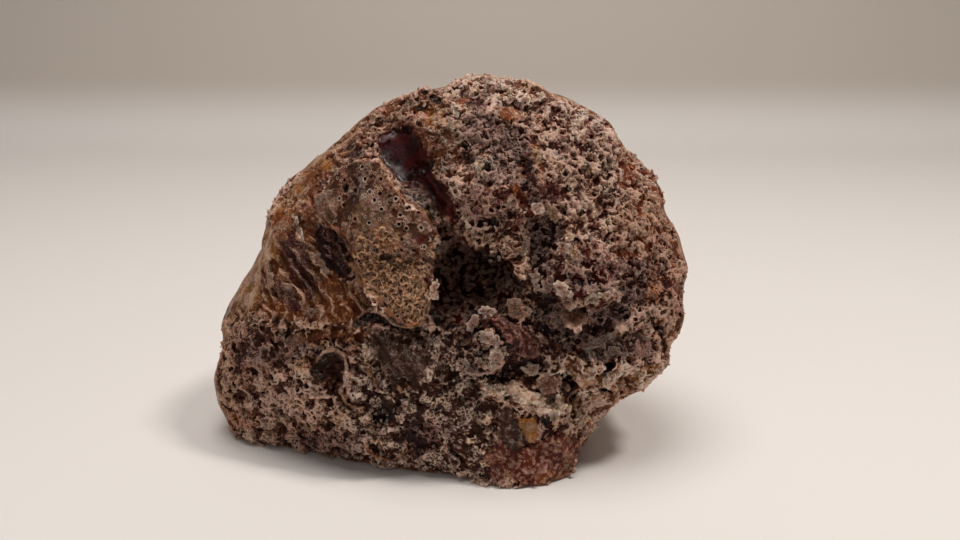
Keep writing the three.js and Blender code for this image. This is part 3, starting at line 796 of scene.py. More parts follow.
zone("ochre_side", "rind", "rind", "amber", outline=oval(248, 290, 13, 22, 28), edge=6, gloss=0.45)
zone("left_rim_tan", "rind", "rind", "brown", path=[(232, 306), (220, 326), (215, 352), (213, 380),
     (222, 408), (240, 426)], width=6, edge=6, gloss=0.4)
zone("recess", "ribs", "wine", "indigo", outline=[(319, 224), (333, 230), (345, 234), (352, 246),
     (354, 262), (358, 268), (347, 276), (334, 274), (325, 264), (318, 248), (316, 232)], edge=2.5,
     ragged=3, gloss=0.45, raised=-0.5)

# %% The plate with pinholes and its lace
PLATE_OUTLINE = [
    (333, 174), (341, 166), (357, 162), (377, 160), (386, 170), (392, 182), (398, 194), (406, 206), (418, 213),
    (430, 211), (437, 219), (444, 230), (452, 246), (447, 262), (439, 280), (432, 300), (421, 322), (405, 326),
    (391, 313), (379, 297), (362, 283), (357, 268), (353, 260), (351, 244), (343, 231), (329, 225), (317, 214),
    (317, 198), (325, 190), (329, 182),
]
zone("plate_top", "plate", "film", "window", outline=PLATE_OUTLINE, edge=1.2, ragged=2.5, gloss=0.5,
     raised=0.45)
zone("plate_grey", "plate", "grey", "dusk", outline=oval(360, 190, 10, 14, 10), edge=7, gloss=0.6)
zone("plate_olive", "plate", "film", "olive", outline=oval(372, 215, 20, 14, 30), edge=8, gloss=0.55)
zone("plate_corner", "smooth", "lobe", "brown", outline=oval(326, 208, 11, 12, 10), edge=3, gloss=0.45)
zone("lace_tan", "lace", "lace", "dark brown", outline=[(352, 258), (362, 240), (380, 228), (400, 236),
     (402, 258), (396, 268), (418, 262), (436, 270), (434, 296), (421, 322), (405, 326), (391, 313),
     (379, 297), (362, 283)], edge=5, ragged=5, gloss=0.4)
zone("lace_orange", "lace", "lace", "amber", outline=oval(390, 242, 11, 9, 10), edge=4, gloss=0.45)
# The lace's pit is set in and given a black pit tone, partly painted shade.
zone("lace_pit", "smooth", "brown", "black", outline=oval(386, 257, 6, 3.6, 0), edge=1.2, ragged=2,
     raised=-0.9)
zone("plate_mauve", "plate", "mauve", "wine", outline=oval(414, 246, 11, 9, 30), edge=4, gloss=0.5)
zone("plate_end", "chips", "pale", "tan", outline=oval(438, 246, 11, 9, 30), edge=3, gloss=0.4)
zone("plate_low_pink", "chips", "pale", "rust", outline=oval(432, 284, 6, 16, 15), edge=3, gloss=0.4)
zone("plate_ridge", "grainy", "pale", "film", path=[(378, 161), (388, 172), (392, 184), (400, 196),
     (412, 208), (428, 213)], width=1.5, edge=1.2, ragged=2, gloss=0.4, raised=0.35)
zone("plate_ridge_low", "grainy", "ochre", "tan", path=[(352, 264), (362, 286), (378, 299), (391, 315),
     (404, 327), (418, 324)], width=2, edge=1.5, ragged=2, raised=0.25)
zone("plate_left_ridge", "smooth", "tan", "brown", path=[(318, 214), (329, 225), (342, 231), (350, 243),
     (353, 258)], width=1.6, edge=1, ragged=2, raised=0.3)
# The plate's slit and the crevice under it are set in and given black pit tones, partly painted shade.
zone("plate_slit", "smooth", "dusk", "black", outline=oval(347, 189, 2, 5, 20), edge=1, ragged=1,
     raised=-0.8)
zone("crevice", "grainy", "dusk", "black", path=[(358, 322), (376, 318), (392, 322), (406, 331),
     (424, 330)], width=4, edge=2, ragged=3, raised=-0.7)

# %% Lower left: honeycomb, grey spot, arcs and the curled base
zone("low_left", "froth", "tan", "dark brown", outline=[(222, 322), (262, 316), (300, 322), (352, 330),
     (372, 340), (352, 370), (346, 400), (352, 430), (300, 440), (256, 430), (236, 424), (218, 392)],
     edge=8, gloss=0.3)
zone("low_left_shade", "fine froth", "shade", "dusk", outline=oval(318, 352, 26, 9, 10), edge=8, ragged=8,
     gloss=0.4)
zone("bright_honeycomb", "froth", "crest", "pit", outline=[(246, 382), (262, 374), (290, 372), (318, 384),
     (336, 402), (330, 420), (300, 428), (264, 420), (250, 404)], edge=9, gloss=0.35)
zone("rosy_pits", "froth", "mauve", "dark brown", outline=oval(262, 348, 30, 20, 10), edge=8, gloss=0.35)
zone("cream_strip", "crumbs", "ochre", "brown", path=[(312, 338), (330, 334), (350, 338), (366, 338)],
     width=6, edge=4)
zone("grey_spot", "smooth", "olive", "brown", outline=oval(296, 340, 9, 7, 0), edge=2.5, gloss=0.5)
zone("base_curls", "curls", "pale", "dark brown", outline=[(366, 334), (424, 330), (456, 330), (464, 372),
     (492, 390), (500, 410), (492, 440), (484, 480), (420, 472), (366, 466), (336, 456), (340, 430),
     (352, 400), (354, 366)], edge=6, gloss=0.35)
zone("base_streaks", "streaks", "window", "dark brown", outline=[(374, 332), (422, 336), (430, 360),
     (420, 384), (388, 380), (374, 356)], edge=6, ragged=7, gloss=0.4)
zone("base_pale_ledge", "chips", "tan", "dark brown", path=[(392, 392), (404, 386), (420, 388), (436, 384)],
     width=3, edge=2, raised=0.3)
zone("base_upright_ridge", "smooth", "pale", "tan", path=[(431, 430), (430, 442), (427, 454)], width=1.3,
     edge=1, ragged=2, raised=0.5)
zone("base_low_ridge", "smooth", "tan", "brown", path=[(366, 444), (374, 456), (392, 460), (408, 452)],
     width=1.5, edge=1, ragged=3, raised=0.5)
# The crack in the base is set in and given a black pit tone, partly painted shade.
zone("base_crack", "crumbs", "dusk", "black", path=[(448, 440), (452, 452), (462, 462)], width=1.5, edge=1,
     ragged=3, raised=-0.9)
zone("base_mauve_pits", "froth", "mauve", "dusk", outline=[(290, 432), (330, 430), (352, 436), (348, 456),
     (310, 452)], edge=5)
zone("base_violet", "curls", "mauve", "dusk", outline=oval(420, 440, 16, 16, 0), edge=6)
zone("ring_curl", "chips", "pale", "dark brown", outline=oval(384, 418, 17, 22, 15), edge=2, gloss=0.35,
     raised=0.4)
# The inside of the ring curl is set in and given a black pit tone, partly painted shade.
zone("ring_curl_inside", "crumbs", "brown", "black", outline=oval(383, 414, 10, 13, 15), edge=2.5,
     raised=-0.7)
zone("arc_bed", "crumbs", "brown", "dark brown", outline=[(312, 364), (324, 350), (342, 352), (348, 368),
     (346, 386), (356, 404), (342, 404), (328, 388), (314, 380)], edge=3, gloss=0.4, raised=-0.2)
zone("arc_outer", "smooth", "pale", "olive", path=[(317, 360), (325, 351), (336, 349), (344, 355),
     (347, 366), (346, 380), (341, 394)], width=1.8, edge=1, ragged=1.5, raised=0.55)
# The arc's groove is set in and given a black pit tone, partly painted shade.
zone("arc_groove", "smooth", "dark brown", "black", path=[(319, 366), (327, 356), (336, 354)], width=2,
     edge=1, ragged=1.5, raised=-0.5)
zone("arc_lower", "smooth", "tan", "olive", path=[(340, 392), (345, 401), (354, 407), (364, 408)],
     width=1.6, edge=1, ragged=1.5, raised=0.4)
zone("arc_right", "smooth", "tan", "brown", path=[(368, 370), (374, 380), (378, 390)], width=1.6, edge=1,
     ragged=1.5, raised=0.45)
zone("arc_shade", "smooth", "dark brown", "black", outline=oval(318, 373, 5, 8, -20), edge=2, ragged=2,
     raised=-0.6)
zone("left_corner", "fine froth", "orange", "rust", outline=oval(236, 420, 12, 8, 35), edge=5, gloss=0.4)

# %% The hollow
MOUTH_OUTLINE = [
    (441, 230), (451, 235), (457, 250), (480, 265), (492, 267), (512, 277), (512, 290), (507, 302), (505, 315),
    (495, 307), (480, 306), (470, 322), (457, 327), (445, 320), (432, 300), (436, 282), (434, 270), (445, 257),
    (442, 242),
]
zone("hollow_mouth", "crumbs", "dusk", "black", outline=MOUTH_OUTLINE, edge=2, ragged=3, gloss=0.5)
print(len(ZONES), "zones")

# %% Each zone as a small map of how deep inside it a pixel is
MAP_LEFT = 196
MAP_TOP = 60
MAP_STEP = 2
MAP_COLUMNS = 254
MAP_ROWS = 222


def nearest_on_line(across, down, start, end):
    """Distance from pixels to the straight line between two points."""
    along = np.subtract(end, start)
    reach = ((across - start[0]) * along[0] + (down - start[1]) * along[1]) / max(float(along @ along), 1e-6)
    reach = np.clip(reach, 0, 1)
    return np.hypot(across - start[0] - reach * along[0], down - start[1] - reach * along[1])


def zone_map(entry):
    rows, columns = np.mgrid[0:MAP_ROWS, 0:MAP_COLUMNS].astype(np.float32)
    across = MAP_LEFT + MAP_STEP * columns
    down = MAP_TOP + MAP_STEP * rows
    points = entry["outline"] or entry["path"]
    lines = list(zip(points, points[1:] + points[:1])) if entry["outline"] else list(zip(points, points[1:]))
    nearest = np.min([nearest_on_line(across, down, start, end) for start, end in lines], axis=0)
    if entry["path"]:
        return (entry["width"] - nearest).astype(np.float32)
    inside = np.zeros(across.shape, bool)
    for (x0, y0), (x1, y1) in lines:
        if y0 != y1:
            crosses = (y0 > down) != (y1 > down)
            inside ^= crosses & (across < (x1 - x0) * (down - y0) / (y1 - y0) + x0)
    return np.where(inside, nearest, -nearest).astype(np.float32)


zone_maps = [zone_map(entry) for entry in ZONES]


def read_map(values, across, down):
    """Value of a small map at pixels, between its points."""
    column = np.clip((across - MAP_LEFT) / MAP_STEP, 0, MAP_COLUMNS - 1.001)
    row = np.clip((down - MAP_TOP) / MAP_STEP, 0, MAP_ROWS - 1.001)
    left = column.astype(np.int32)
    top = row.astype(np.int32)
    right_share = column - left
    low_share = row - top
    flat = values.ravel()
    start = top * MAP_COLUMNS + left
    upper = blend(flat[start], flat[start + 1], right_share)
    lower = blend(flat[start + MAP_COLUMNS], flat[start + MAP_COLUMNS + 1], right_share)
    return blend(upper, lower, low_share)


# %% [markdown]
# Putting the finishes on the stone
#
# For a set of places, the share of each zone is worked out from its map, its ragged edge and whether the skin
# there is turned to the camera. The outline of the stone shows a smooth waxy rind, and so the sides and the
# back, which the photograph doesn't show, get the same rind with a few patches worn down to froth. They could
# be frothy all over, but a nodule of this kind keeps its skin where it wasn't broken. The walls of the hollow
# are found by how far inside its chambers they are, because most of them are out of sight.

# %% Chambers of the hollow, in mm in the row frame
CHAMBERS = [
    ((6.7, -14.9, 35.0), (9.2, 13.0, 7.8)),
    ((1.8, -17.9, 32.8), (5.4, 10.0, 6.4)),
    ((1.6, -17.9, 39.6), (4.2, 8.0, 6.2)),
]
RIND_FADE = (0.04, 0.34)  # the same for the rind giving way to the broken front
WORN_AREAS = (0.51, 0.57)  # where the area pattern says that the rind is worn through
DEEP_IN_HOLLOW = (-24.0, -18.0)  # mm, where the hollow's lining turns from dark crumbs to rosy beads
SIDE_FADE = (-0.35, -0.05)  # how far the skin is turned to the camera as the zones take over
STIPPLE_PX = 5  # how far crumbs of one zone lie over the edge of the next
LEAST_SHARE = 0.001  # a smaller share of a zone or finish can't be seen


def in_hollow(places):
    nearest = np.full(len(places), 9.0, np.float32)
    for middle, half in CHAMBERS:
        nearest = np.minimum(nearest, np.linalg.norm((places - middle) / half, axis=1))
    return 1 - ease(0.98, 1.1, nearest)


# %% Relief and tones at any place
def surface_of(places, with_tones=False):
    """Height in mm of the relief at places, and for a finished mesh the tones and masks too."""
    patterns = patterns_at(places)
    patterns["rib_place"] = places[:, 2] * math.cos(RIB_TURN) - places[:, 0] * math.sin(RIB_TURN)
    across, down = photo_place(places)
    rag_across = 2 * (patterns["rag_across"] - 0.5)
    rag_down = 2 * (patterns["rag_down"] - 0.5)
    stipple = STIPPLE_PX * (patterns["rubble"] - 0.5)
    facing = facing_camera(places)
    front = ease(*SIDE_FADE, facing)
    shares = {name: np.zeros(len(places), np.float32) for name in FINISHES}
    shares["froth"] += 1
    raised = np.zeros(len(places), np.float32)
    at_outline = 1 - ease(*RIND_FADE, facing + 0.4 * (patterns["lump"] - 0.5))
    rough_outline = np.zeros(len(places), np.float32)
    if with_tones:
        crest_tone = np.ones((len(places), 3), np.float32) * linear(TONES["crest"])
        pit_tone = np.ones((len(places), 3), np.float32) * linear(TONES["pit"])
        gloss = np.full(len(places), BASE_GLOSS, np.float32)
    for entry, depths in zip(ZONES, zone_maps):
        edge = entry["edge"]
        ragged = RAGGED_PULL * entry["ragged"]
        left, right, upper, lower = entry["reach"]
        close = np.flatnonzero((across > left) & (across < right) & (down > upper) & (down < lower))
        ragged_across = across[close] + ragged * rag_across[close]
        ragged_down = down[close] + ragged * rag_down[close]
        depth = read_map(depths, ragged_across, ragged_down) + edge * stipple[close]
        share = ease(-0.5 * edge, 0.5 * edge, depth) * front[close]
        touched = close[share > LEAST_SHARE]
        part = share[share > LEAST_SHARE]
        for name in FINISHES:
            shares[name][touched] *= 1 - part
        shares[entry["finish"]][touched] += part
        raised[touched] += entry["raised"] * part
        rough_outline[touched] = blend(rough_outline[touched], 0.0 if entry["rind"] else 1.0, part)
        if with_tones:
            crest_tone[touched] = blend(crest_tone[touched], linear(TONES[entry["crest"]]), part[:, None])
            pit_tone[touched] = blend(pit_tone[touched], linear(TONES[entry["pit"]]), part[:, None])
            gloss[touched] = blend(gloss[touched], entry["gloss"], part)
    at_outline *= 1 - rough_outline
    worn_through = at_outline * ease(*WORN_AREAS, patterns["area"]) * (1 - front)
    hollow = in_hollow(places)
    deep = ease(*DEEP_IN_HOLLOW, places[:, 1])
    for name in FINISHES:
        shares[name] *= (1 - at_outline) * (1 - hollow)
    shares["rind"] += (at_outline - worn_through) * (1 - hollow)
    shares["fine froth"] += worn_through * (1 - hollow)
    shares["beads"] += hollow * deep
    shares["crumbs"] += hollow * (1 - deep)
    height = raised
    crest = np.zeros(len(places), np.float32)
    for name, finish in FINISHES.items():
        used = np.flatnonzero(shares[name] > LEAST_SHARE)
        finish_height, finish_crest = finish({key: value[used] for key, value in patterns.items()})
        height[used] += shares[name][used] * finish_height
        crest[used] += shares[name][used] * finish_crest
    height *= 0.5 + 0.5 * np.maximum(ease(-0.05, 0.45, facing), hollow)
    outline_limit = blend(0.15, 1.0, np.maximum(ease(0.05, 0.5, facing), rough_outline))
    height = np.where(height > 0, height * outline_limit, height)
    if not with_tones:
        return height
    warm = ease(0.42, 0.54, patterns["swell"] + 0.5 * (patterns["lump"] - 0.5))[:, None]
    rind_tone = blend(linear(TONES["rind"]), linear(TONES["ochre"]), 0.8 * warm)
    rind_shade = blend(linear(TONES["mauve"]), linear(TONES["rind shade"]), warm)
    over = 0.75 * at_outline[:, None]
    crest_tone = blend(crest_tone, rind_tone, over)
    pit_tone = blend(pit_tone, rind_shade, over)
    gloss = blend(gloss, 0.62, at_outline - worn_through)
    inner_crest = blend(linear(TONES["dusk"]), linear(TONES["crest"]), deep[:, None])
    inner_pit = blend(linear(TONES["black"]), linear(TONES["wine"]), deep[:, None])
    crest_tone = blend(crest_tone, inner_crest, hollow[:, None])
    pit_tone = blend(pit_tone, inner_pit, hollow[:, None])
    # Pale crest lines, partly painted highlight, go on the froth kinds; painted gap shade goes on chips,
    # crumbs and cracked crust.
    pale_edge_and_highlight = (shares["froth"] + shares["fine froth"] + 0.7 * shares["curls"]) * (1 - hollow)
    gap_shade = shares["chips"] + shares["crumbs"] + shares["cracked"]
    return {
        "crest": crest, "gloss": gloss, "plate": shares["plate"], "lace": shares["lace"],
        "pale_edge_and_highlight": pale_edge_and_highlight, "gap_shade": gap_shade, "crest_tone": crest_tone, "pit_tone": pit_tone,
    }


# %% Heights, block by block to save memory
RELIEF_IN = 1.9  # mm below the softened skin that the relief may cut
RELIEF_OUT = 0.95  # mm above it that the relief may rise
BLOCK = 600_000
FRONT_LIMIT = -0.12  # skin turned further away than this from the camera is carved coarsely


def fill_heights(heights, values, chosen, step):
    """Works the relief out at the chosen voxels of a volume that takes every step-th voxel."""
    flat = heights.ravel()
    for start in range(0, len(chosen), BLOCK):
        block = chosen[start:start + BLOCK]
        index = step * np.stack(np.unravel_index(block, values.shape), 1) + grid_low
        flat[block] = surface_of((index * VOXEL).astype(np.float32))


def doubled(values, axis, length):
    """A volume with a voxel added between each two along an axis, cut to length."""
    values = np.moveaxis(values, axis, 0)
    wide = np.empty((2 * len(values), *values.shape[1:]), np.float32)
    wide[::2] = values
    wide[1:-1:2] = 0.5 * (values[1:] + values[:-1])
    wide[-1] = values[-1]
    return np.moveaxis(wide[:length], 0, axis)


# %% Carve the volume: coarsely all round, then finely where the photograph looks
def carved(values):
    coarse = np.ascontiguousarray(values[::2, ::2, ::2])
    reach = 2 * VOXEL
    near = np.flatnonzero((coarse > -RELIEF_IN - reach) & (coarse < RELIEF_OUT + reach))
    heights = np.zeros(coarse.shape, np.float32)
    fill_heights(heights, coarse, near, 2)
    for axis in range(3):
        heights = doubled(heights, axis, values.shape[axis])
    heights = np.ascontiguousarray(heights)
    near_fine = np.flatnonzero((values > -RELIEF_IN) & (values < RELIEF_OUT))
    index = np.stack(np.unravel_index(near_fine, values.shape), 1) + grid_low
    in_front = facing_camera((index * VOXEL).astype(np.float32)) > FRONT_LIMIT
    fill_heights(heights, values, near_fine[in_front], 1)
    print(len(near), "voxels carved coarsely,", int(in_front.sum()), "finely")
    result = values.copy()
    result.ravel()[near_fine] -= np.clip(heights.ravel()[near_fine], -RELIEF_IN + 0.3, RELIEF_OUT - 0.15)
    return result


relief = carved(distance)
height_of_voxel = (np.arange(distance.shape[2]) + grid_low[2]) * VOXEL
relief = np.maximum(relief, -height_of_voxel[None, None, :].astype(np.float32))


# %% [markdown]
# From the volume to a mesh
#
# The skin of the volume is taken as a closed mesh. Carving can leave crumbs that hang free, and only the
# largest connected body is kept. Then the mesh is thinned where it is plain: a collapse decimation keeps
# crests and pit edges, which an even remesh would blur.

# %% Mesh helpers
def mesh_from_faces(name, places, faces):
    """faces is an array with one row of corners for each face."""
    mesh = bpy.data.meshes.new(name)
    sides = faces.shape[1]
    mesh.vertices.add(len(places))
    mesh.vertices.foreach_set("co", np.ascontiguousarray(places, np.float32).ravel())
    mesh.loops.add(faces.size)
    mesh.loops.foreach_set("vertex_index", np.ascontiguousarray(faces, np.int32).ravel())
    mesh.polygons.add(len(faces))
    mesh.polygons.foreach_set("loop_start", np.arange(0, faces.size, sides, dtype=np.int32))
    mesh.update(calc_edges=True)
    return mesh


def skin_of(values, low, voxel):
    """The closed skin of a volume: places in mm, and four corners for each face, turned outwards."""
    grid = openvdb.FloatGrid(SHELL)
    grid.copyFromArray(np.ascontiguousarray(values), ijk=tuple(int(part) for part in low), tolerance=0.0)
    grid.transform = openvdb.createLinearTransform(voxel)
    places, _, faces = grid.convertToPolygons(isovalue=0.0, adaptivity=0.0)
    a, b, c, d = (places[faces[:, side]] for side in range(4))
    volume = np.einsum("ij,ij->i", a, np.cross(b, c) + np.cross(c, d)).sum()
    return places, faces if volume > 0 else faces[:, ::-1]


def island_tree():
    tree, flow, end = points_tree("island_numbers")
    island = add_node(tree, "GeometryNodeInputMeshIsland")
    tree.links.new(stored_on(tree, flow, "island", island.outputs["Island Index"], "INT"), end)
    return tree


number_islands = island_tree()


def evaluated_copy(mesh, kind, **settings):
    """The mesh as a modifier of that kind leaves it."""
    carrier = in_scene("carrier", mesh)
    modifier = carrier.modifiers.new(kind, kind)
    for name, value in settings.items():
        setattr(modifier, name, value)
    result = carrier.evaluated_get(bpy.context.evaluated_depsgraph_get())
    copy = bpy.data.meshes.new_from_object(result)
    bpy.data.objects.remove(carrier)
    return copy


def largest_body(places, faces):
    mesh = mesh_from_faces("all_bodies", places, faces)
    numbered = evaluated_copy(mesh, "NODES", node_group=number_islands)
    island = np.empty(len(places), np.int32)
    numbered.attributes["island"].data.foreach_get("value", island)
    bpy.data.meshes.remove(mesh)
    bpy.data.meshes.remove(numbered)
    sizes = np.bincount(island)
    kept = island == sizes.argmax()
    fresh = np.cumsum(kept) - 1
    print("bodies:", len(sizes), "points left out:", int((~kept).sum()))
    return places[kept], fresh[faces[kept[faces[:, 0]]]]


def thinned(mesh, triangles):
    share = min(1.0, triangles / (2 * len(mesh.polygons)))
    return evaluated_copy(mesh, "DECIMATE", ratio=share, use_collapse_triangulate=True)


# %% The stone's skin
BODY_TRIANGLES = 860_000
PIECES = ("stone_left", "stone_left_middle", "stone_middle", "stone_right_middle", "stone_right")


def inside_box(places):
    low = np.array(cad_box[0]) / MM
    high = np.array(cad_box[1]) / MM
    return np.clip(places, low, high)


def make_skin():
    places, faces = largest_body(*skin_of(relief, grid_low, VOXEL))
    mesh = mesh_from_faces("stone_skin", places, faces)
    lighter = thinned(mesh, BODY_TRIANGLES)
    print("skin:", len(faces), "faces from the volume,", len(lighter.polygons), "kept")
    return lighter


skin = make_skin()


# %% Cut the skin into slabs of equal weight
def slabs(mesh):
    """One mesh for each piece, with the whole skin's normals, so that no seam shows."""
    places, corners = mesh_arrays(mesh)
    places = inside_box(places)
    normals = vertex_rows(mesh, "normal")
    middles = places[corners].mean(1)[:, 0]
    borders = np.quantile(middles, np.linspace(0, 1, len(PIECES) + 1)[1:-1])
    slab = np.searchsorted(borders, middles)
    meshes = []
    for number, name in enumerate(PIECES):
        own = corners[slab == number]
        used, fresh = np.unique(own, return_inverse=True)
        part = mesh_from_faces(name, places[used], fresh.reshape(-1, 3))
        meshes.append((part, normals[used]))
        print(name, len(own), "triangles")
    return meshes


slab_meshes = slabs(skin)


# %% Tones and masks on a finished mesh
def store_values(mesh, values):
    """Stores each mask as a number and each tone as a colour on the vertices of a mesh."""
    count = len(mesh.vertices)
    for name in ("crest", "gloss", "plate", "lace", "pale_edge_and_highlight", "gap_shade"):
        numbers = np.broadcast_to(values[name], count).astype(np.float32)
        mesh.attributes.new(name, "FLOAT", "POINT").data.foreach_set("value", numbers)
    for name in ("crest_tone", "pit_tone"):
        colours = np.ones((count, 4), np.float32)
        colours[:, :3] = values[name]
        mesh.attributes.new(name, "FLOAT_COLOR", "POINT").data.foreach_set("color", colours.ravel())


def to_metres(mesh):
    mesh.vertices.foreach_set("co", (vertex_rows(mesh, "co") * MM).ravel())
    mesh.polygons.foreach_set("use_smooth", np.ones(len(mesh.polygons), bool))
    mesh.update()


stone_pieces = []
for mesh, normals in slab_meshes:
    store_values(mesh, surface_of(vertex_rows(mesh, "co"), with_tones=True))
    to_metres(mesh)
    mesh.normals_split_custom_set_from_vertices(normals.tolist())
    stone_pieces.append(in_scene(mesh.name, mesh))

# %% [markdown]
# Flakes that stand out of the broken bed
#
# Where the froth has broken in layers, thin pale chips stand out like petals, with sharp ragged edges and
# dark gaps under them. A volume with this voxel size can't hold such thin edges, so each flake is a small
# closed mesh: an outline in the photograph's pixels is laid on the stone where the camera sees it, tilted
# at random, and given a few rings of points and a thickness. They could be scattered as instances, but each
# of these is a different break, and there are few enough to make them all.

# %% Where the camera's rays meet the stone
RAY_NEAR = 120.0  # mm from the camera
RAY_FAR = 250.0
RAY_STEP = 0.1


def sight_lines(pixels):
    """Unit directions from the camera through pixels."""
    pixels = np.asarray(pixels, float)
    across = (pixels[:, 0] - PHOTO_WIDTH / 2) / FOCAL_PX
    up = (PHOTO_HEIGHT / 2 - pixels[:, 1]) / FOCAL_PX
    cosine = math.cos(CAMERA_TILT)
    sine = math.sin(CAMERA_TILT)
    lines = np.stack([across, cosine + up * sine, up * cosine - sine], 1)
    return lines / np.linalg.norm(lines, axis=1)[:, None]


def seen_places(pixels):
    """Places in mm where the sight lines first enter the carved stone; a miss gives the camera's own place."""
    lines = sight_lines(pixels)
    steps = np.arange(RAY_NEAR, RAY_FAR, RAY_STEP)
    flat = relief.ravel()
    places = np.empty((len(lines), 3), np.float32)
    for number, line in enumerate(lines):
        along = (CAMERA_MM + steps[:, None] * line).astype(np.float32)
        inside = flat[voxel_index(along)] < 0
        places[number] = along[int(inside.argmax())] if inside.any() else CAMERA_MM
    return places


# %% One flake
FLAKE_RINGS = ((0.5, 0.0), (0.88, 0.04), (1.0, -0.3))  # size of a ring, and its height in thicknesses
FLAKE_CRESTS = (0.45, 0.5, 0.85, 1.0)  # how pale the middle and each ring are
FLAKE_REACH = 6  # mm from its middle that a flake may reach along an axis
ROOT_MM = 0.6  # how far a flake's root goes into the stone


def flake(pixels, normal, lift, thickness, bend, chance):
    """A thin closed chip over an outline of pixels: places and triangles."""
    pixels = np.asarray(pixels, float)
    middle = seen_places([pixels.mean(0)])[0] + lift * normal
    lines = sight_lines(pixels)
    reach = ((middle - CAMERA_MM) @ normal) / (lines @ normal)
    outline = CAMERA_MM + reach[:, None] * lines
    outline = middle + np.clip(outline - middle, -FLAKE_REACH, FLAKE_REACH)
    corners = len(outline)
    width = float(np.linalg.norm(outline - middle, axis=1).mean())
    waves = np.cos(np.linspace(0, 4 * math.pi, corners, endpoint=False) + bend * 9)
    upper = [middle + 0.1 * thickness * normal]
    for size, depth in FLAKE_RINGS:
        ring = middle + size * (outline - middle)
        curl = bend * size ** 2 * width * waves
        rough = 0.18 * thickness * chance.standard_normal(corners)
        upper.extend(ring + (curl + rough + depth * thickness)[:, None] * normal)
    upper = np.array(upper)
    lower = upper - thickness * normal
    lower[1:] += 0.12 * (middle - lower[1:])
    lower[0] -= (lift + ROOT_MM) * normal
    count = len(upper)
    faces = []
    for corner in range(corners):
        after = (corner + 1) % corners
        faces.append((0, 1 + corner, 1 + after))
        faces.append((count, count + 1 + after, count + 1 + corner))
        for ring in range(len(FLAKE_RINGS) - 1):
            a, b = 1 + ring * corners + corner, 1 + ring * corners + after
            c, d = b + corners, a + corners
            faces += [(a, d, c), (a, c, b)]
            faces += [(count + a, count + c, count + d), (count + a, count + b, count + c)]
        a, b = count - corners + corner, count - corners + after
        faces += [(a, count + a, count + b), (a, count + b, b)]
    return np.concatenate([upper, lower]), np.array(faces)


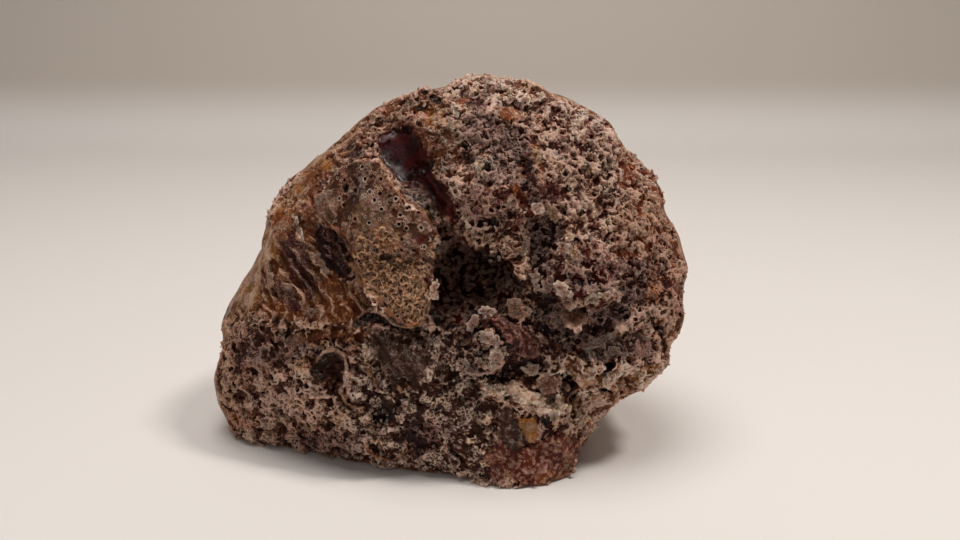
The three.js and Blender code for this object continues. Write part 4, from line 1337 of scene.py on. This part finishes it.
# %% Outlines of the flakes that can be told apart in the photograph
# name: (outline in pixels, crest tone, lift in mm, thickness in mm)
NAMED_FLAKES = {
    "talon": ([(561, 315), (567, 310), (574, 312), (581, 308), (587, 313), (588, 319), (582, 323),
        (579, 332), (575, 333), (571, 328), (565, 325)], "crest", 0.8, 0.8),
    "white_chip": ([(585, 301), (588, 296), (593, 291), (597, 295), (600, 300), (597, 305), (590, 303),
        (586, 305)], "white", 0.8, 0.7),
    "lobe_pale": ([(531, 205), (535, 202), (541, 203), (545, 208), (543, 213), (536, 215), (532, 211)],
        "pale", 0.8, 0.6),
    "lobe_yellow": ([(549, 209), (554, 207), (559, 210), (560, 218), (556, 224), (551, 221), (548, 215)],
        "ochre", 0.8, 0.7),
    "orange_petal": ([(645, 293), (649, 289), (655, 291), (658, 296), (653, 300), (647, 298)], "orange",
        0.5, 0.5),
    "fan": ([(505, 304), (509, 299), (516, 298), (521, 305), (525, 311), (527, 317), (520, 316), (513, 318),
        (507, 314)], "tan", 0.9, 0.6),
    "lip_left": ([(466, 331), (466, 324), (471, 318), (477, 315), (479, 320), (474, 326), (471, 332)],
        "pale", 0.6, 0.5),
    "lip_peak": ([(478, 314), (481, 306), (488, 305), (492, 308), (497, 313), (494, 318), (487, 317),
        (482, 320)], "pale", 0.8, 0.5),
    "lip_bent": ([(478, 336), (483, 331), (491, 332), (496, 338), (500, 345), (496, 350), (490, 345),
        (484, 343)], "pale", 0.9, 0.6),
    "lip_hook": ([(490, 350), (497, 348), (502, 352), (503, 360), (498, 367), (490, 370), (488, 366),
        (494, 360)], "pale", 0.9, 0.6),
    "lip_foot": ([(461, 362), (466, 358), (470, 364), (476, 370), (484, 373), (480, 377), (470, 375),
        (463, 370)], "pale", 0.8, 0.6),
    "bed_leaf": ([(564, 246), (568, 243), (573, 249), (580, 252), (585, 257), (580, 262), (573, 260),
        (568, 254)], "pale", 0.7, 0.4),
    "bed_upper": ([(566, 236), (570, 230), (575, 234), (574, 242), (569, 243), (565, 241)], "pale", 0.6,
        0.4),
    "bed_left": ([(553, 284), (557, 280), (564, 283), (567, 290), (574, 294), (570, 300), (562, 298),
        (557, 292)], "pale", 0.7, 0.5),
    "bed_right": ([(598, 293), (605, 292), (611, 287), (615, 289), (613, 295), (606, 298), (599, 299)],
        "pale", 0.6, 0.4),
    "hook_left": ([(534, 268), (538, 267), (540, 274), (538, 282), (534, 285), (532, 278)], "pale", 0.7,
        0.4),
    "hook_low": ([(534, 284), (540, 285), (542, 291), (537, 294), (533, 290)], "pale", 0.6, 0.4),
    "tooth": ([(522, 238), (528, 236), (531, 244), (529, 254), (525, 257), (520, 250)], "grey", 0.6, 0.5),
    "ledge_a": ([(521, 366), (528, 362), (536, 364), (541, 368), (538, 374), (530, 376), (524, 372)],
        "pale", 0.7, 0.6),
    "ledge_b": ([(538, 380), (546, 374), (556, 377), (561, 384), (556, 393), (546, 394), (539, 388)],
        "rose", 0.6, 0.9),
    "slab_lip": ([(583, 350), (592, 343), (604, 338), (616, 333), (618, 336), (606, 342), (595, 348),
        (586, 354)], "grey", 0.6, 0.5),
    "slab_low": ([(598, 357), (608, 351), (620, 348), (628, 351), (630, 356), (621, 355), (610, 358),
        (601, 362)], "grey", 0.6, 0.6),
    "white_curve": ([(556, 395), (559, 394), (560, 400), (563, 405), (566, 408), (562, 410), (558, 405),
        (556, 400)], "white", 0.6, 0.4),
    "pale_cube": ([(549, 413), (554, 411), (559, 414), (559, 420), (554, 423), (550, 419)], "white", 0.8,
        0.9),
    "plate_horn": ([(433, 240), (438, 236), (444, 240), (449, 247), (446, 253), (440, 254), (435, 248)],
        "pale", 0.6, 0.6),
    "plate_chip": ([(432, 282), (437, 279), (440, 284), (438, 294), (433, 300), (430, 292)], "pale", 0.5,
        0.5),
    "plate_tooth": ([(441, 269), (446, 266), (449, 271), (445, 276), (440, 274)], "white", 0.5, 0.4),
    "curl_white": ([(448, 99), (453, 101), (456, 108), (460, 113), (458, 118), (453, 114), (450, 107)],
        "white", 0.6, 0.4),
    "curl_tail": ([(449, 117), (454, 119), (456, 127), (452, 132), (448, 126)], "pale", 0.6, 0.4),
    "slope_lobe": ([(317, 194), (323, 192), (328, 199), (334, 206), (337, 214), (334, 220), (339, 227),
        (332, 226), (325, 220), (318, 212), (315, 202)], "lobe", 0.6, 0.8),
    "slope_flap": ([(311, 254), (316, 250), (321, 253), (325, 262), (331, 272), (328, 275), (321, 268),
        (314, 262)], "lobe", 0.6, 0.5),
    "ridge_upper": ([(290, 214), (293, 213), (298, 226), (304, 243), (302, 246), (296, 232)], "pale", 0.4,
        0.4),
    "ridge_left": ([(266, 262), (269, 260), (272, 272), (276, 284), (273, 288), (269, 278)], "lobe", 0.5,
        0.5),
    "ridge_low": ([(281, 284), (285, 283), (291, 292), (297, 300), (294, 302), (287, 294)], "lobe", 0.5,
        0.4),
    "ridge_foot": ([(299, 301), (304, 300), (309, 309), (315, 319), (311, 320), (304, 311)], "lobe", 0.5,
        0.4),
}

# name of the zone: (how many flakes, smallest and largest half size in pixels, crest tone)
SCATTERED_FLAKES = {
    "flake_bed": (60, 1.6, 4.2, "crest"),
    "tan_ringlets": (44, 1.6, 3.4, "tan"),
    "pale_lump": (30, 1.5, 3.4, "pale"),
    "lip_floor": (26, 1.2, 2.6, "crest"),
    "violet_froth": (30, 1.2, 2.6, "crest"),
    "top_cap": (40, 1.4, 3.4, "pale"),
    "ring_round_pit": (18, 1.6, 3.4, "white"),
    "white_froth_with_painted_light": (50, 1.6, 3.8, "white"),
    "low_right_tan": (40, 1.4, 3.2, "tan"),
    "indigo_valley": (16, 1.0, 2.0, "crest"),
    "plate_end": (14, 1.6, 3.2, "pale"),
    "shoulder": (50, 1.4, 3.2, "crest"),
    "base_curls": (90, 1.2, 3.2, "crest"),
    "ring_curl": (26, 1.4, 3.0, "pale"),
    "foot_body": (26, 1.4, 3.2, "tan"),
    "rust_lump": (30, 1.4, 2.8, "rose"),
    "wide_slab": (12, 1.4, 3.0, "crest"),
    "dome_dark_pits": (50, 1.0, 2.4, "pale"),
    "rose_top": (40, 1.0, 2.6, "pale"),
    "dome_low": (30, 1.0, 2.4, "crest"),
    "left_slope": (30, 1.2, 3.0, "lobe"),
}
FLAKE_SEED = 11
LEAST_SKIN_FACING = 0.42  # flakes grow only where the skin is turned this much to the camera
LEAST_FLAKE_FACING = 0.35


# %% Make the flakes
def scattered_outline(across, down, size, chance):
    corners = int(chance.integers(6, 10))
    angles = np.sort(chance.uniform(0, 2 * math.pi, corners))
    reach = size * chance.uniform(0.55, 1.25, corners)
    stretch = chance.uniform(0.6, 1.0)
    turn = chance.uniform(0, math.pi)
    x = reach * np.cos(angles)
    y = reach * np.sin(angles) * stretch
    return [(across + a * math.cos(turn) - b * math.sin(turn), down + a * math.sin(turn) + b * math.cos(turn))
            for a, b in zip(x, y)]


LONGEST_EDGE_PX = 2.6


def finer_outline(pixels, chance):
    """The outline with ragged points added until no edge is longer than LONGEST_EDGE_PX, twice at most."""
    for _ in range(2):
        fine = []
        for start, end in zip(pixels, pixels[1:] + pixels[:1]):
            fine.append(start)
            gap = math.dist(start, end)
            if gap > LONGEST_EDGE_PX:
                stray = 0.22 * gap * chance.standard_normal(2)
                fine.append(((start[0] + end[0]) / 2 + stray[0], (start[1] + end[1]) / 2 + stray[1]))
        pixels = fine
    return pixels


def flake_list():
    """Outline, crest tone, pit tone, lift and thickness of every flake."""
    chance = np.random.default_rng(FLAKE_SEED)
    listed = [(outline, tone, "brown", lift + 0.15, 0.55 * thickness)
              for outline, tone, lift, thickness in NAMED_FLAKES.values()]
    for entry, depths in zip(ZONES, zone_maps):
        if entry["name"] not in SCATTERED_FLAKES:
            continue
        number, smallest, largest, tone = SCATTERED_FLAKES[entry["name"]]
        left, right, upper, lower = entry["reach"]
        made = 0
        while made < number:
            across = chance.uniform(left, right)
            down = chance.uniform(upper, lower)
            if read_map(depths, np.array([across]), np.array([down]))[0] < 0:
                continue
            size = chance.uniform(smallest, largest)
            outline = scattered_outline(across, down, size, chance)
            lift = 0.12 * size * chance.uniform(0.4, 1.3)
            listed.append((outline, tone, entry["pit"], lift, 0.09 * size + 0.12))
            made += 1
    return listed


def make_flakes():
    chance = np.random.default_rng(FLAKE_SEED + 1)
    listed = flake_list()
    middles = seen_places([np.mean(entry[0], 0) for entry in listed])
    missed = np.all(middles == np.float32(CAMERA_MM), axis=1)
    facing = outward(middles)
    places, faces, crests, crest_tones, pit_tones, start = [], [], [], [], [], 0
    for number, (outline, crest_tone, pit_tone, lift, thickness) in enumerate(listed):
        sight = -sight_lines([np.mean(outline, 0)])[0]
        if missed[number] or facing[number] @ sight < LEAST_SKIN_FACING:
            continue
        normal = facing[number] + 0.7 * sight + 0.3 * chance.standard_normal(3)
        normal /= np.linalg.norm(normal)
        if normal @ sight < LEAST_FLAKE_FACING:
            continue
        bend = (0.06 if number < len(NAMED_FLAKES) else 0.16) * chance.standard_normal()
        own_places, own_faces = flake(finer_outline(outline, chance), normal, lift, thickness, bend, chance)
        places.append(own_places)
        faces.append(own_faces + start)
        start += len(own_places)
        corners = (len(own_places) // 2 - 1) // len(FLAKE_RINGS)
        upper = np.repeat(FLAKE_CRESTS, [1] + [corners] * len(FLAKE_RINGS))
        # The underside of each flake gets 0.4 of the crest value: painted shade under the flake.
        crests += [upper, 0.4 * upper]
        brightness = chance.uniform(0.6, 1.05)
        crest_tones += [linear(TONES[crest_tone]) * brightness] * len(own_places)
        pit_tones += [linear(TONES[pit_tone]) * brightness] * len(own_places)
    mesh = mesh_from_faces("pale_flakes", inside_box(np.concatenate(places)), np.concatenate(faces))
    # The flakes get the pale crest lines with painted highlight and the painted gap shade too.
    store_values(mesh, {
        "crest": np.concatenate(crests), "gloss": 0.4, "plate": 0.0, "lace": 0.0, "pale_edge_and_highlight": 0.6, "gap_shade": 0.8,
        "crest_tone": crest_tones, "pit_tone": pit_tones,
    })
    to_metres(mesh)
    print("flakes:", len(places), "with", len(mesh.polygons), "triangles")
    return in_scene("pale_flakes", mesh)


stone_pieces.append(make_flakes())

# %% [markdown]
# The stone's material
#
# Close up, chalcedony is waxy and a little clear: crests are pale and dull where they are worn, and pits show
# the deep red of the stone, darkened further by painted shade. The tones and masks stored on the mesh say
# which is where, and the material adds what is finer than the mesh: specks, thin veils of colour, pale crest
# lines that are partly painted highlight, painted shade in gaps and small holes, and a fine pitted skin in the
# normals.

# %% Shader group: fine grain
def new_group(name, inputs, outputs):
    """A shader group that reads a place, numbers and tones: its tree, its inner outputs and inner inputs."""
    tree = bpy.data.node_groups.new(name, "ShaderNodeTree")
    tree.interface.new_socket("Place", in_out="INPUT", socket_type="NodeSocketVector")
    for label, value in inputs.items():
        kind = "NodeSocketColor" if isinstance(value, tuple) else "NodeSocketFloat"
        tree.interface.new_socket(label, in_out="INPUT", socket_type=kind).default_value = value
    for label in outputs:
        kind = "NodeSocketColor" if label == "Colour" else "NodeSocketFloat"
        tree.interface.new_socket(label, in_out="OUTPUT", socket_type=kind)
    return tree, add_node(tree, "NodeGroupInput").outputs, add_node(tree, "NodeGroupOutput").inputs


def math_node(tree, operation, *values):
    return add_node(tree, "ShaderNodeMath", dict(enumerate(values)), operation=operation).outputs[0]


def product(tree, result, *factors):
    for factor in factors:
        result = math_node(tree, "MULTIPLY", result, factor)
    return result


def mix_colours(tree, share, first, second, how="MIX"):
    inputs = {0: share, 6: first, 7: second}
    return add_node(tree, "ShaderNodeMix", inputs, data_type="RGBA", blend_type=how).outputs[2]


def soft_step(tree, value, low, high, first=0.0, last=1.0):
    """A smooth change from first to last as the value goes from low to high."""
    inputs = {"Value": value, "From Min": low, "From Max": high, "To Min": first, "To Max": last}
    return add_node(tree, "ShaderNodeMapRange", inputs, interpolation_type="SMOOTHSTEP").outputs[0]


def make_grain_group():
    """Grain finer than the mesh: its height, specks and a slow veil of light and dark."""
    tree, reads, gives = new_group(
        "fine_grain", {"Coarse mm": 0.5, "Fine mm": 0.18}, ("Height", "Specks", "Veil"))
    coarse_scale = math_node(tree, "DIVIDE", 1.0, reads["Coarse mm"])
    fine_scale = math_node(tree, "DIVIDE", 1.0, reads["Fine mm"])
    coarse = cloud_node(tree, reads["Place"], coarse_scale, 4.0, 0.65).outputs[0]
    fine = cloud_node(tree, reads["Place"], fine_scale, 2.0).outputs[0]
    veil = cloud_node(tree, reads["Place"], 0.3, 3.0).outputs[0]
    tree.links.new(math_node(tree, "ADD", coarse, product(tree, fine, 0.4)), gives["Height"])
    tree.links.new(soft_step(tree, fine, 0.54, 0.64), gives["Specks"])
    tree.links.new(veil, gives["Veil"])
    return tree


grain_group = make_grain_group()


# %% Shader group: curly threads of pale crust
def make_thread_group():
    """Thin winding threads, where a cloud passes its middle value, and small pinpricks, which are painted dark
    as shade in tiny holes.
    """
    tree, reads, gives = new_group("crust_threads", {"Size mm": 1.0, "Width": 0.04}, ("Threads", "Pinpricks"))
    scale = math_node(tree, "DIVIDE", 1.0, reads["Size mm"])
    cloud = cloud_node(tree, reads["Place"], scale, 3.0, 0.6).outputs[0]
    away = math_node(tree, "ABSOLUTE", math_node(tree, "SUBTRACT", cloud, 0.5))
    cells = cell_node(tree, reads["Place"], product(tree, scale, 1.4))
    tree.links.new(soft_step(tree, away, 0.0, reads["Width"], 1.0, 0.0), gives["Threads"])
    tree.links.new(soft_step(tree, cells.outputs["Distance"], 0.16, 0.3, 1.0, 0.0), gives["Pinpricks"])
    return tree


thread_group = make_thread_group()


# %% Shader group: pinholes with pale rims
def make_ring_group():
    """Round pinholes seen from the front, each with a raised rim, in a share of the cells."""
    tree, reads, gives = new_group(
        "ringed_pinholes",
        {"Spacing mm": 2.1, "Hole mm": 0.2, "Rim mm": 0.42, "Closed share": 0.52},
        ("Hole", "Rim"),
    )
    cells = cell_node(tree, reads["Place"], math_node(tree, "DIVIDE", 1.0, reads["Spacing mm"]), "2D")
    away = product(tree, cells.outputs["Distance"], reads["Spacing mm"])
    tone = add_node(tree, "ShaderNodeSeparateColor", {"Color": cells.outputs["Color"]})
    is_open = math_node(tree, "GREATER_THAN", tone.outputs[0], reads["Closed share"])
    hole = math_node(tree, "LESS_THAN", away, reads["Hole mm"])
    rim = math_node(tree, "SUBTRACT", math_node(tree, "LESS_THAN", away, reads["Rim mm"]), hole)
    tree.links.new(product(tree, hole, is_open), gives["Hole"])
    tree.links.new(product(tree, rim, is_open), gives["Rim"])
    return tree


ring_group = make_ring_group()


# %% Shader group: lace of thin walls
LACE_STRAY = (1.6, 1.6, 1.6)  # mm that a cloud moves the cells of the lace by


def make_lace_group():
    """Thin walls between flat cells, with the cells moved about by a cloud."""
    tree, reads, gives = new_group("lace_walls", {"Spacing mm": 1.3, "Width": 0.09}, ("Walls",))
    cloud = cloud_node(tree, reads["Place"], 1.1, 2.0)
    moved = vector_node(tree, "MULTIPLY_ADD", cloud.outputs["Color"], LACE_STRAY, reads["Place"])
    scale = math_node(tree, "DIVIDE", 1.0, reads["Spacing mm"])
    cells = cell_node(tree, moved, scale, "2D", "DISTANCE_TO_EDGE")
    tree.links.new(soft_step(tree, cells.outputs["Distance"], 0.02, reads["Width"], 1.0, 0.0), gives["Walls"])
    return tree


lace_group = make_lace_group()


# %% Shader group: sharp edges of bubbles and shards, with painted highlight and painted gap shade
def make_edge_group():
    """The same cells that carved the froth, read again for lines thinner than the mesh can hold: pale lines,
    partly painted highlight, and gaps for painted shade.
    """
    widths = {"Wall": 0.06, "Small wall": 0.11}
    tree, reads, gives = new_group("bubble_edges", widths, ("Pale crest lines and highlights", "Gap shade"))
    place = reads["Place"]
    wandering = strayed(tree, place, WANDER_SIZE)
    edges = []
    for name, width in (("wall", "Wall"), ("small_wall", "Small wall")):
        distance_to_wall = pattern_output(tree, PATTERNS[name], {"wandering": wandering})
        edges.append(soft_step(tree, distance_to_wall, 0.01, reads[width], 1.0, 0.0))
    rubble = pattern_output(tree, PATTERNS["rubble"], {"elsewhere": moved_elsewhere(tree, place)})
    lump = pattern_output(tree, PATTERNS["lump"], {"place": place})
    pulled = product(tree, math_node(tree, "SUBTRACT", lump, 0.5), LUMP_PULL)
    unbroken = soft_step(tree, math_node(tree, "ADD", rubble, pulled), 0.42, 0.56)
    both = math_node(tree, "MAXIMUM", edges[0], product(tree, edges[1], 0.75))
    tree.links.new(product(tree, both, unbroken), gives["Pale crest lines and highlights"])
    tree.links.new(both, gives["Gap shade"])
    return tree


edge_group = make_edge_group()


# %% Shader group: crest and pit colouring
VIOLET_CAST = (0.92, 0.8, 0.84, 1)
AMBER_CAST = (1.06, 0.97, 0.86, 1)
NO_CAST = (1, 1, 1, 1)
SPECK_TONE = (0.8, 0.62, 0.5, 1)
RICH_PITS = 1.3  # light that comes back out of a pit has lost its blue
RICH_CRESTS = 1.02


def make_colouring_group():
    """Mixes the pit and crest tones by the crest mask, broken up by grain, threads, flecks and casts."""
    numbers = {
        "Crest": 0.5, "Grain": 0.5, "Specks": 0.0, "Threads": 0.0, "Pinpricks": 0.0, "Veil": 0.5,
        "Fleck mm": 0.75, "Cast mm": 5.0, "Worn": 1.0,
    }
    tones = {"Crest tone": SPECK_TONE, "Pit tone": (0, 0, 0, 1), "Speck tone": SPECK_TONE}
    tree, reads, gives = new_group("crest_and_pit", {**numbers, **tones}, ("Colour",))
    roughened = product(tree, math_node(tree, "SUBTRACT", reads["Grain"], 0.7), 1.2)
    crest = soft_step(tree, math_node(tree, "ADD", reads["Crest"], roughened), 0.15, 0.85)
    colour = mix_colours(tree, crest, reads["Pit tone"], reads["Crest tone"])
    fleck_scale = math_node(tree, "DIVIDE", 1.0, reads["Fleck mm"])
    flecks = cloud_node(tree, reads["Place"], fleck_scale, 3.0, 0.6).outputs[0]
    pale = soft_step(tree, flecks, 0.56, 0.6)
    dark = soft_step(tree, flecks, 0.41, 0.45, 1.0, 0.0)
    worn = product(tree, crest, reads["Worn"])
    for mark, strength in ((reads["Threads"], 0.4), (pale, 0.3), (reads["Specks"], 0.35)):
        colour = mix_colours(tree, product(tree, mark, worn, strength), colour, reads["Speck tone"])
    # Dark flecks and pinpricks pull toward the pit tone: painted shade in tiny holes.
    for mark, strength in ((dark, 0.5), (reads["Pinpricks"], 0.6)):
        colour = mix_colours(tree, product(tree, mark, strength), colour, reads["Pit tone"])
    cast_scale = math_node(tree, "DIVIDE", 1.0, reads["Cast mm"])
    cast = cloud_node(tree, reads["Place"], cast_scale, 4.0, 0.65).outputs[0]
    violet = mix_colours(tree, soft_step(tree, cast, 0.34, 0.48, 1.0, 0.0), NO_CAST, VIOLET_CAST)
    amber = mix_colours(tree, soft_step(tree, cast, 0.52, 0.66), violet, AMBER_CAST)
    toned = add_node(tree, "ShaderNodeHueSaturation", {
        "Saturation": soft_step(tree, crest, 0.2, 1.0, RICH_PITS, RICH_CRESTS),
        "Value": soft_step(tree, reads["Veil"], 0.35, 0.65, 0.72, 1.2),
        "Color": mix_colours(tree, 1.0, colour, amber, how="MULTIPLY"),
    })
    tree.links.new(toned.outputs[0], gives["Colour"])
    return tree


colouring_group = make_colouring_group()


# %% Material helpers
def attribute(tree, name, output="Fac"):
    return add_node(tree, "ShaderNodeAttribute", attribute_name=name).outputs[output]


def group_outputs(tree, group, **inputs):
    """What a shader group gives; an input's name is written with _ for each space."""
    named = {name.replace("_", " "): value for name, value in inputs.items()}
    return add_node(tree, "ShaderNodeGroup", named, node_tree=group).outputs


# %% Material
# The pale crest lines are partly pale crust and partly painted highlight.
PALE_EDGE_AND_HIGHLIGHT_TONE = (0.82, 0.65, 0.56, 1)
RIM_TONE = (0.5, 0.36, 0.27, 1)
# Near black for the pinholes: painted shade in the holes.
PAINTED_HOLE_SHADE = (0.008, 0.003, 0.003, 1)
LACE_TONE = (0.44, 0.27, 0.17, 1)
STONE_LIGHT = {
    "IOR": 1.54,
    "Specular IOR Level": 0.22,
    "Subsurface Weight": 0.3,
    "Subsurface Radius": (1.0, 0.3, 0.16),
    "Subsurface Scale": 0.0012,
    "Coat Roughness": 0.16,
}
PINHOLES = ((2.1, 0.26, 0.44, 0.4), (1.35, 0.15, 0.28, 0.7))  # spacing, hole and rim in mm, share without


def stone_colour(tree, place, gloss, grain, threads):
    """The colouring with its thin pale edges, partly painted highlight, and gaps of painted shade, and the
    lace and pinholes, the holes painted shade, over it.
    """
    front = place_from_front(tree, place)
    crest_tone = attribute(tree, "crest_tone", "Color")
    pit_tone = attribute(tree, "pit_tone", "Color")
    colouring = group_outputs(
        tree, colouring_group,
        Place=place, Crest_tone=crest_tone, Pit_tone=pit_tone, Crest=attribute(tree, "crest"),
        Grain=grain["Height"], Specks=grain["Specks"], Veil=grain["Veil"],
        Threads=threads["Threads"], Pinpricks=threads["Pinpricks"],
        Worn=soft_step(tree, gloss, 0.45, 0.8, 1.0, 0.0),
    )
    edges = group_outputs(tree, edge_group, Place=place)
    # Pale crest lines, partly painted highlight, then gaps pulled toward the pit tone as painted shade.
    pale_edge_and_highlight_share = product(tree, edges["Pale crest lines and highlights"], attribute(tree, "pale_edge_and_highlight"), 0.8)
    gap_shade_share = product(tree, edges["Gap shade"], attribute(tree, "gap_shade"), 0.45)
    pale_edge_and_highlight_tone = mix_colours(tree, 0.3, crest_tone, PALE_EDGE_AND_HIGHLIGHT_TONE)
    colour = mix_colours(tree, pale_edge_and_highlight_share, colouring["Colour"], pale_edge_and_highlight_tone)
    colour = mix_colours(tree, gap_shade_share, colour, pit_tone)
    lace_mask = attribute(tree, "lace")
    wide_lace = group_outputs(tree, lace_group, Place=front)
    fine_lace = group_outputs(tree, lace_group, Place=front, Spacing_mm=0.7, Width=0.13)
    walls = math_node(tree, "MAXIMUM", wide_lace["Walls"], product(tree, fine_lace["Walls"], 0.7))
    colour = mix_colours(tree, product(tree, walls, lace_mask, 0.75), colour, LACE_TONE)
    on_plate = math_node(tree, "ADD", attribute(tree, "plate"), product(tree, lace_mask, 0.5))
    for spacing, hole, rim, closed in PINHOLES:
        rings = group_outputs(
            tree, ring_group, Place=front, Spacing_mm=spacing, Hole_mm=hole, Rim_mm=rim, Closed_share=closed)
        colour = mix_colours(tree, product(tree, rings["Rim"], on_plate, 0.7), colour, RIM_TONE)
        # The holes are painted near black as painted shade.
        colour = mix_colours(tree, product(tree, rings["Hole"], on_plate), colour, PAINTED_HOLE_SHADE)
    return colour


def make_stone_material():
    material = bpy.data.materials.new("broken_chalcedony")
    material.use_nodes = True
    tree = material.node_tree
    shader = tree.nodes["Principled BSDF"]
    for name, value in STONE_LIGHT.items():
        shader.inputs[name].default_value = value
    coordinates = add_node(tree, "ShaderNodeTexCoord")
    place = vector_node(tree, "SCALE", coordinates.outputs["Object"], Scale=1 / MM)
    gloss = attribute(tree, "gloss")
    grain = group_outputs(tree, grain_group, Place=place)
    threads = group_outputs(tree, thread_group, Place=place)
    roughness = add_node(tree, "ShaderNodeMapRange", {
        "Value": gloss, "From Min": 0.0, "From Max": 1.0, "To Min": 0.66, "To Max": 0.28}).outputs[0]
    uneven = product(tree, math_node(tree, "SUBTRACT", grain["Height"], 0.7), 0.4)
    height = math_node(tree, "ADD", grain["Height"], product(tree, threads["Threads"], 0.5))
    polished_flat = soft_step(tree, gloss, 0.45, 0.85, 1.0, 0.12)
    bump = add_node(tree, "ShaderNodeBump", {
        "Strength": 0.8, "Distance": 0.0003, "Height": product(tree, height, polished_flat)})
    for name, output in (
            ("Base Color", stone_colour(tree, place, gloss, grain, threads)),
            ("Roughness", math_node(tree, "ADD", roughness, uneven)),
            ("Coat Weight", soft_step(tree, gloss, 0.3, 0.9, 0.0, 0.1)),
            ("Normal", bump.outputs[0])):
        tree.links.new(output, shader.inputs[name])
    return material


stone_material = make_stone_material()
for piece in stone_pieces:
    piece.data.materials.append(stone_material)

# %% [markdown]
# Floor and light
#
# The photograph has the stone on a pale smooth table in soft light from above. A floor that curves up into a
# backdrop, one large soft lamp overhead and an even pale surround give the same soft shadows.

# %% Stage
FLOOR_TONE = (0.85, 0.82, 0.795, 1)
WALL_TONE = (0.58, 0.52, 0.465, 1)
WALL_LOW = 0.004  # m up the backdrop where the wall's tone begins
WALL_HIGH = 0.035
WALL_START = 0.34
WALL_CURVE = 0.16
STAGE_HALF_WIDTH = 1.6


def make_stage():
    """A floor that rolls up behind the stone."""
    profile = [(-1.2, 0.0), (WALL_START, 0.0)]
    for step in range(1, 13):
        angle = step / 12 * math.pi / 2
        profile.append((WALL_START + WALL_CURVE * math.sin(angle), WALL_CURVE * (1 - math.cos(angle))))
    profile.append((WALL_START + WALL_CURVE, 1.4))
    places = [(side * STAGE_HALF_WIDTH, y, z) for y, z in profile for side in (-1, 1)]
    faces = [(2 * i, 2 * i + 1, 2 * i + 3, 2 * i + 2) for i in range(len(profile) - 1)]
    floor = in_scene("floor", mesh_from_faces("floor", np.array(places), np.array(faces)))
    floor.data.polygons.foreach_set("use_smooth", np.ones(len(faces), bool))
    material = bpy.data.materials.new("pale_table")
    material.use_nodes = True
    tree = material.node_tree
    coordinates = add_node(tree, "ShaderNodeTexCoord")
    parts = add_node(tree, "ShaderNodeSeparateXYZ", {0: coordinates.outputs["Object"]})
    tone = mix_colours(tree, soft_step(tree, parts.outputs["Z"], WALL_LOW, WALL_HIGH), FLOOR_TONE, WALL_TONE)
    tree.links.new(tone, tree.nodes["Principled BSDF"].inputs["Base Color"])
    tree.nodes["Principled BSDF"].inputs["Roughness"].default_value = 0.6
    floor.data.materials.append(material)
    return floor


floor = make_stage()


# %% Light
def add_lamp(name, place, aim, size, watts, tone):
    lamp = bpy.data.lights.new(name, "AREA")
    lamp.shape = "DISK"
    lamp.size = size
    lamp.energy = watts
    lamp.color = tone
    holder = in_scene(name, lamp)
    holder.location = place
    across, ahead, up = np.subtract(aim, place)
    pitch = math.atan2(up, math.hypot(across, ahead))
    heading = math.atan2(ahead, across)
    holder.rotation_euler = (math.pi / 2 + pitch, 0, heading - math.pi / 2)
    return holder


add_lamp("room_lamp", (0.27, -0.07, 0.56), (0, 0, 0.03), 0.1, 1.5, (1.0, 0.94, 0.88))
add_lamp("overhead_softbox", (-0.06, -0.04, 0.66), (0, 0, 0.03), 0.42, 2.3, (1.0, 0.95, 0.91))
add_lamp("front_fill", (-0.3, -0.6, 0.3), (0, 0, 0.03), 0.6, 0.35, (1.0, 0.96, 0.92))
world = bpy.data.worlds.new("soft_room")
world.use_nodes = True
world.node_tree.nodes["Background"].inputs["Color"].default_value = (1.0, 0.97, 0.94, 1)
world.node_tree.nodes["Background"].inputs["Strength"].default_value = 0.12
bpy.context.scene.world = world
bpy.context.scene.view_settings.view_transform = "Standard"

# %% [markdown]
# The pieces on the stone's body
#
# The carved pieces stand for the imported solid and ride on its one body.

# %% Pieces on the body
for piece in stone_pieces:
    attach(piece, "root")
    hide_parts("geode")
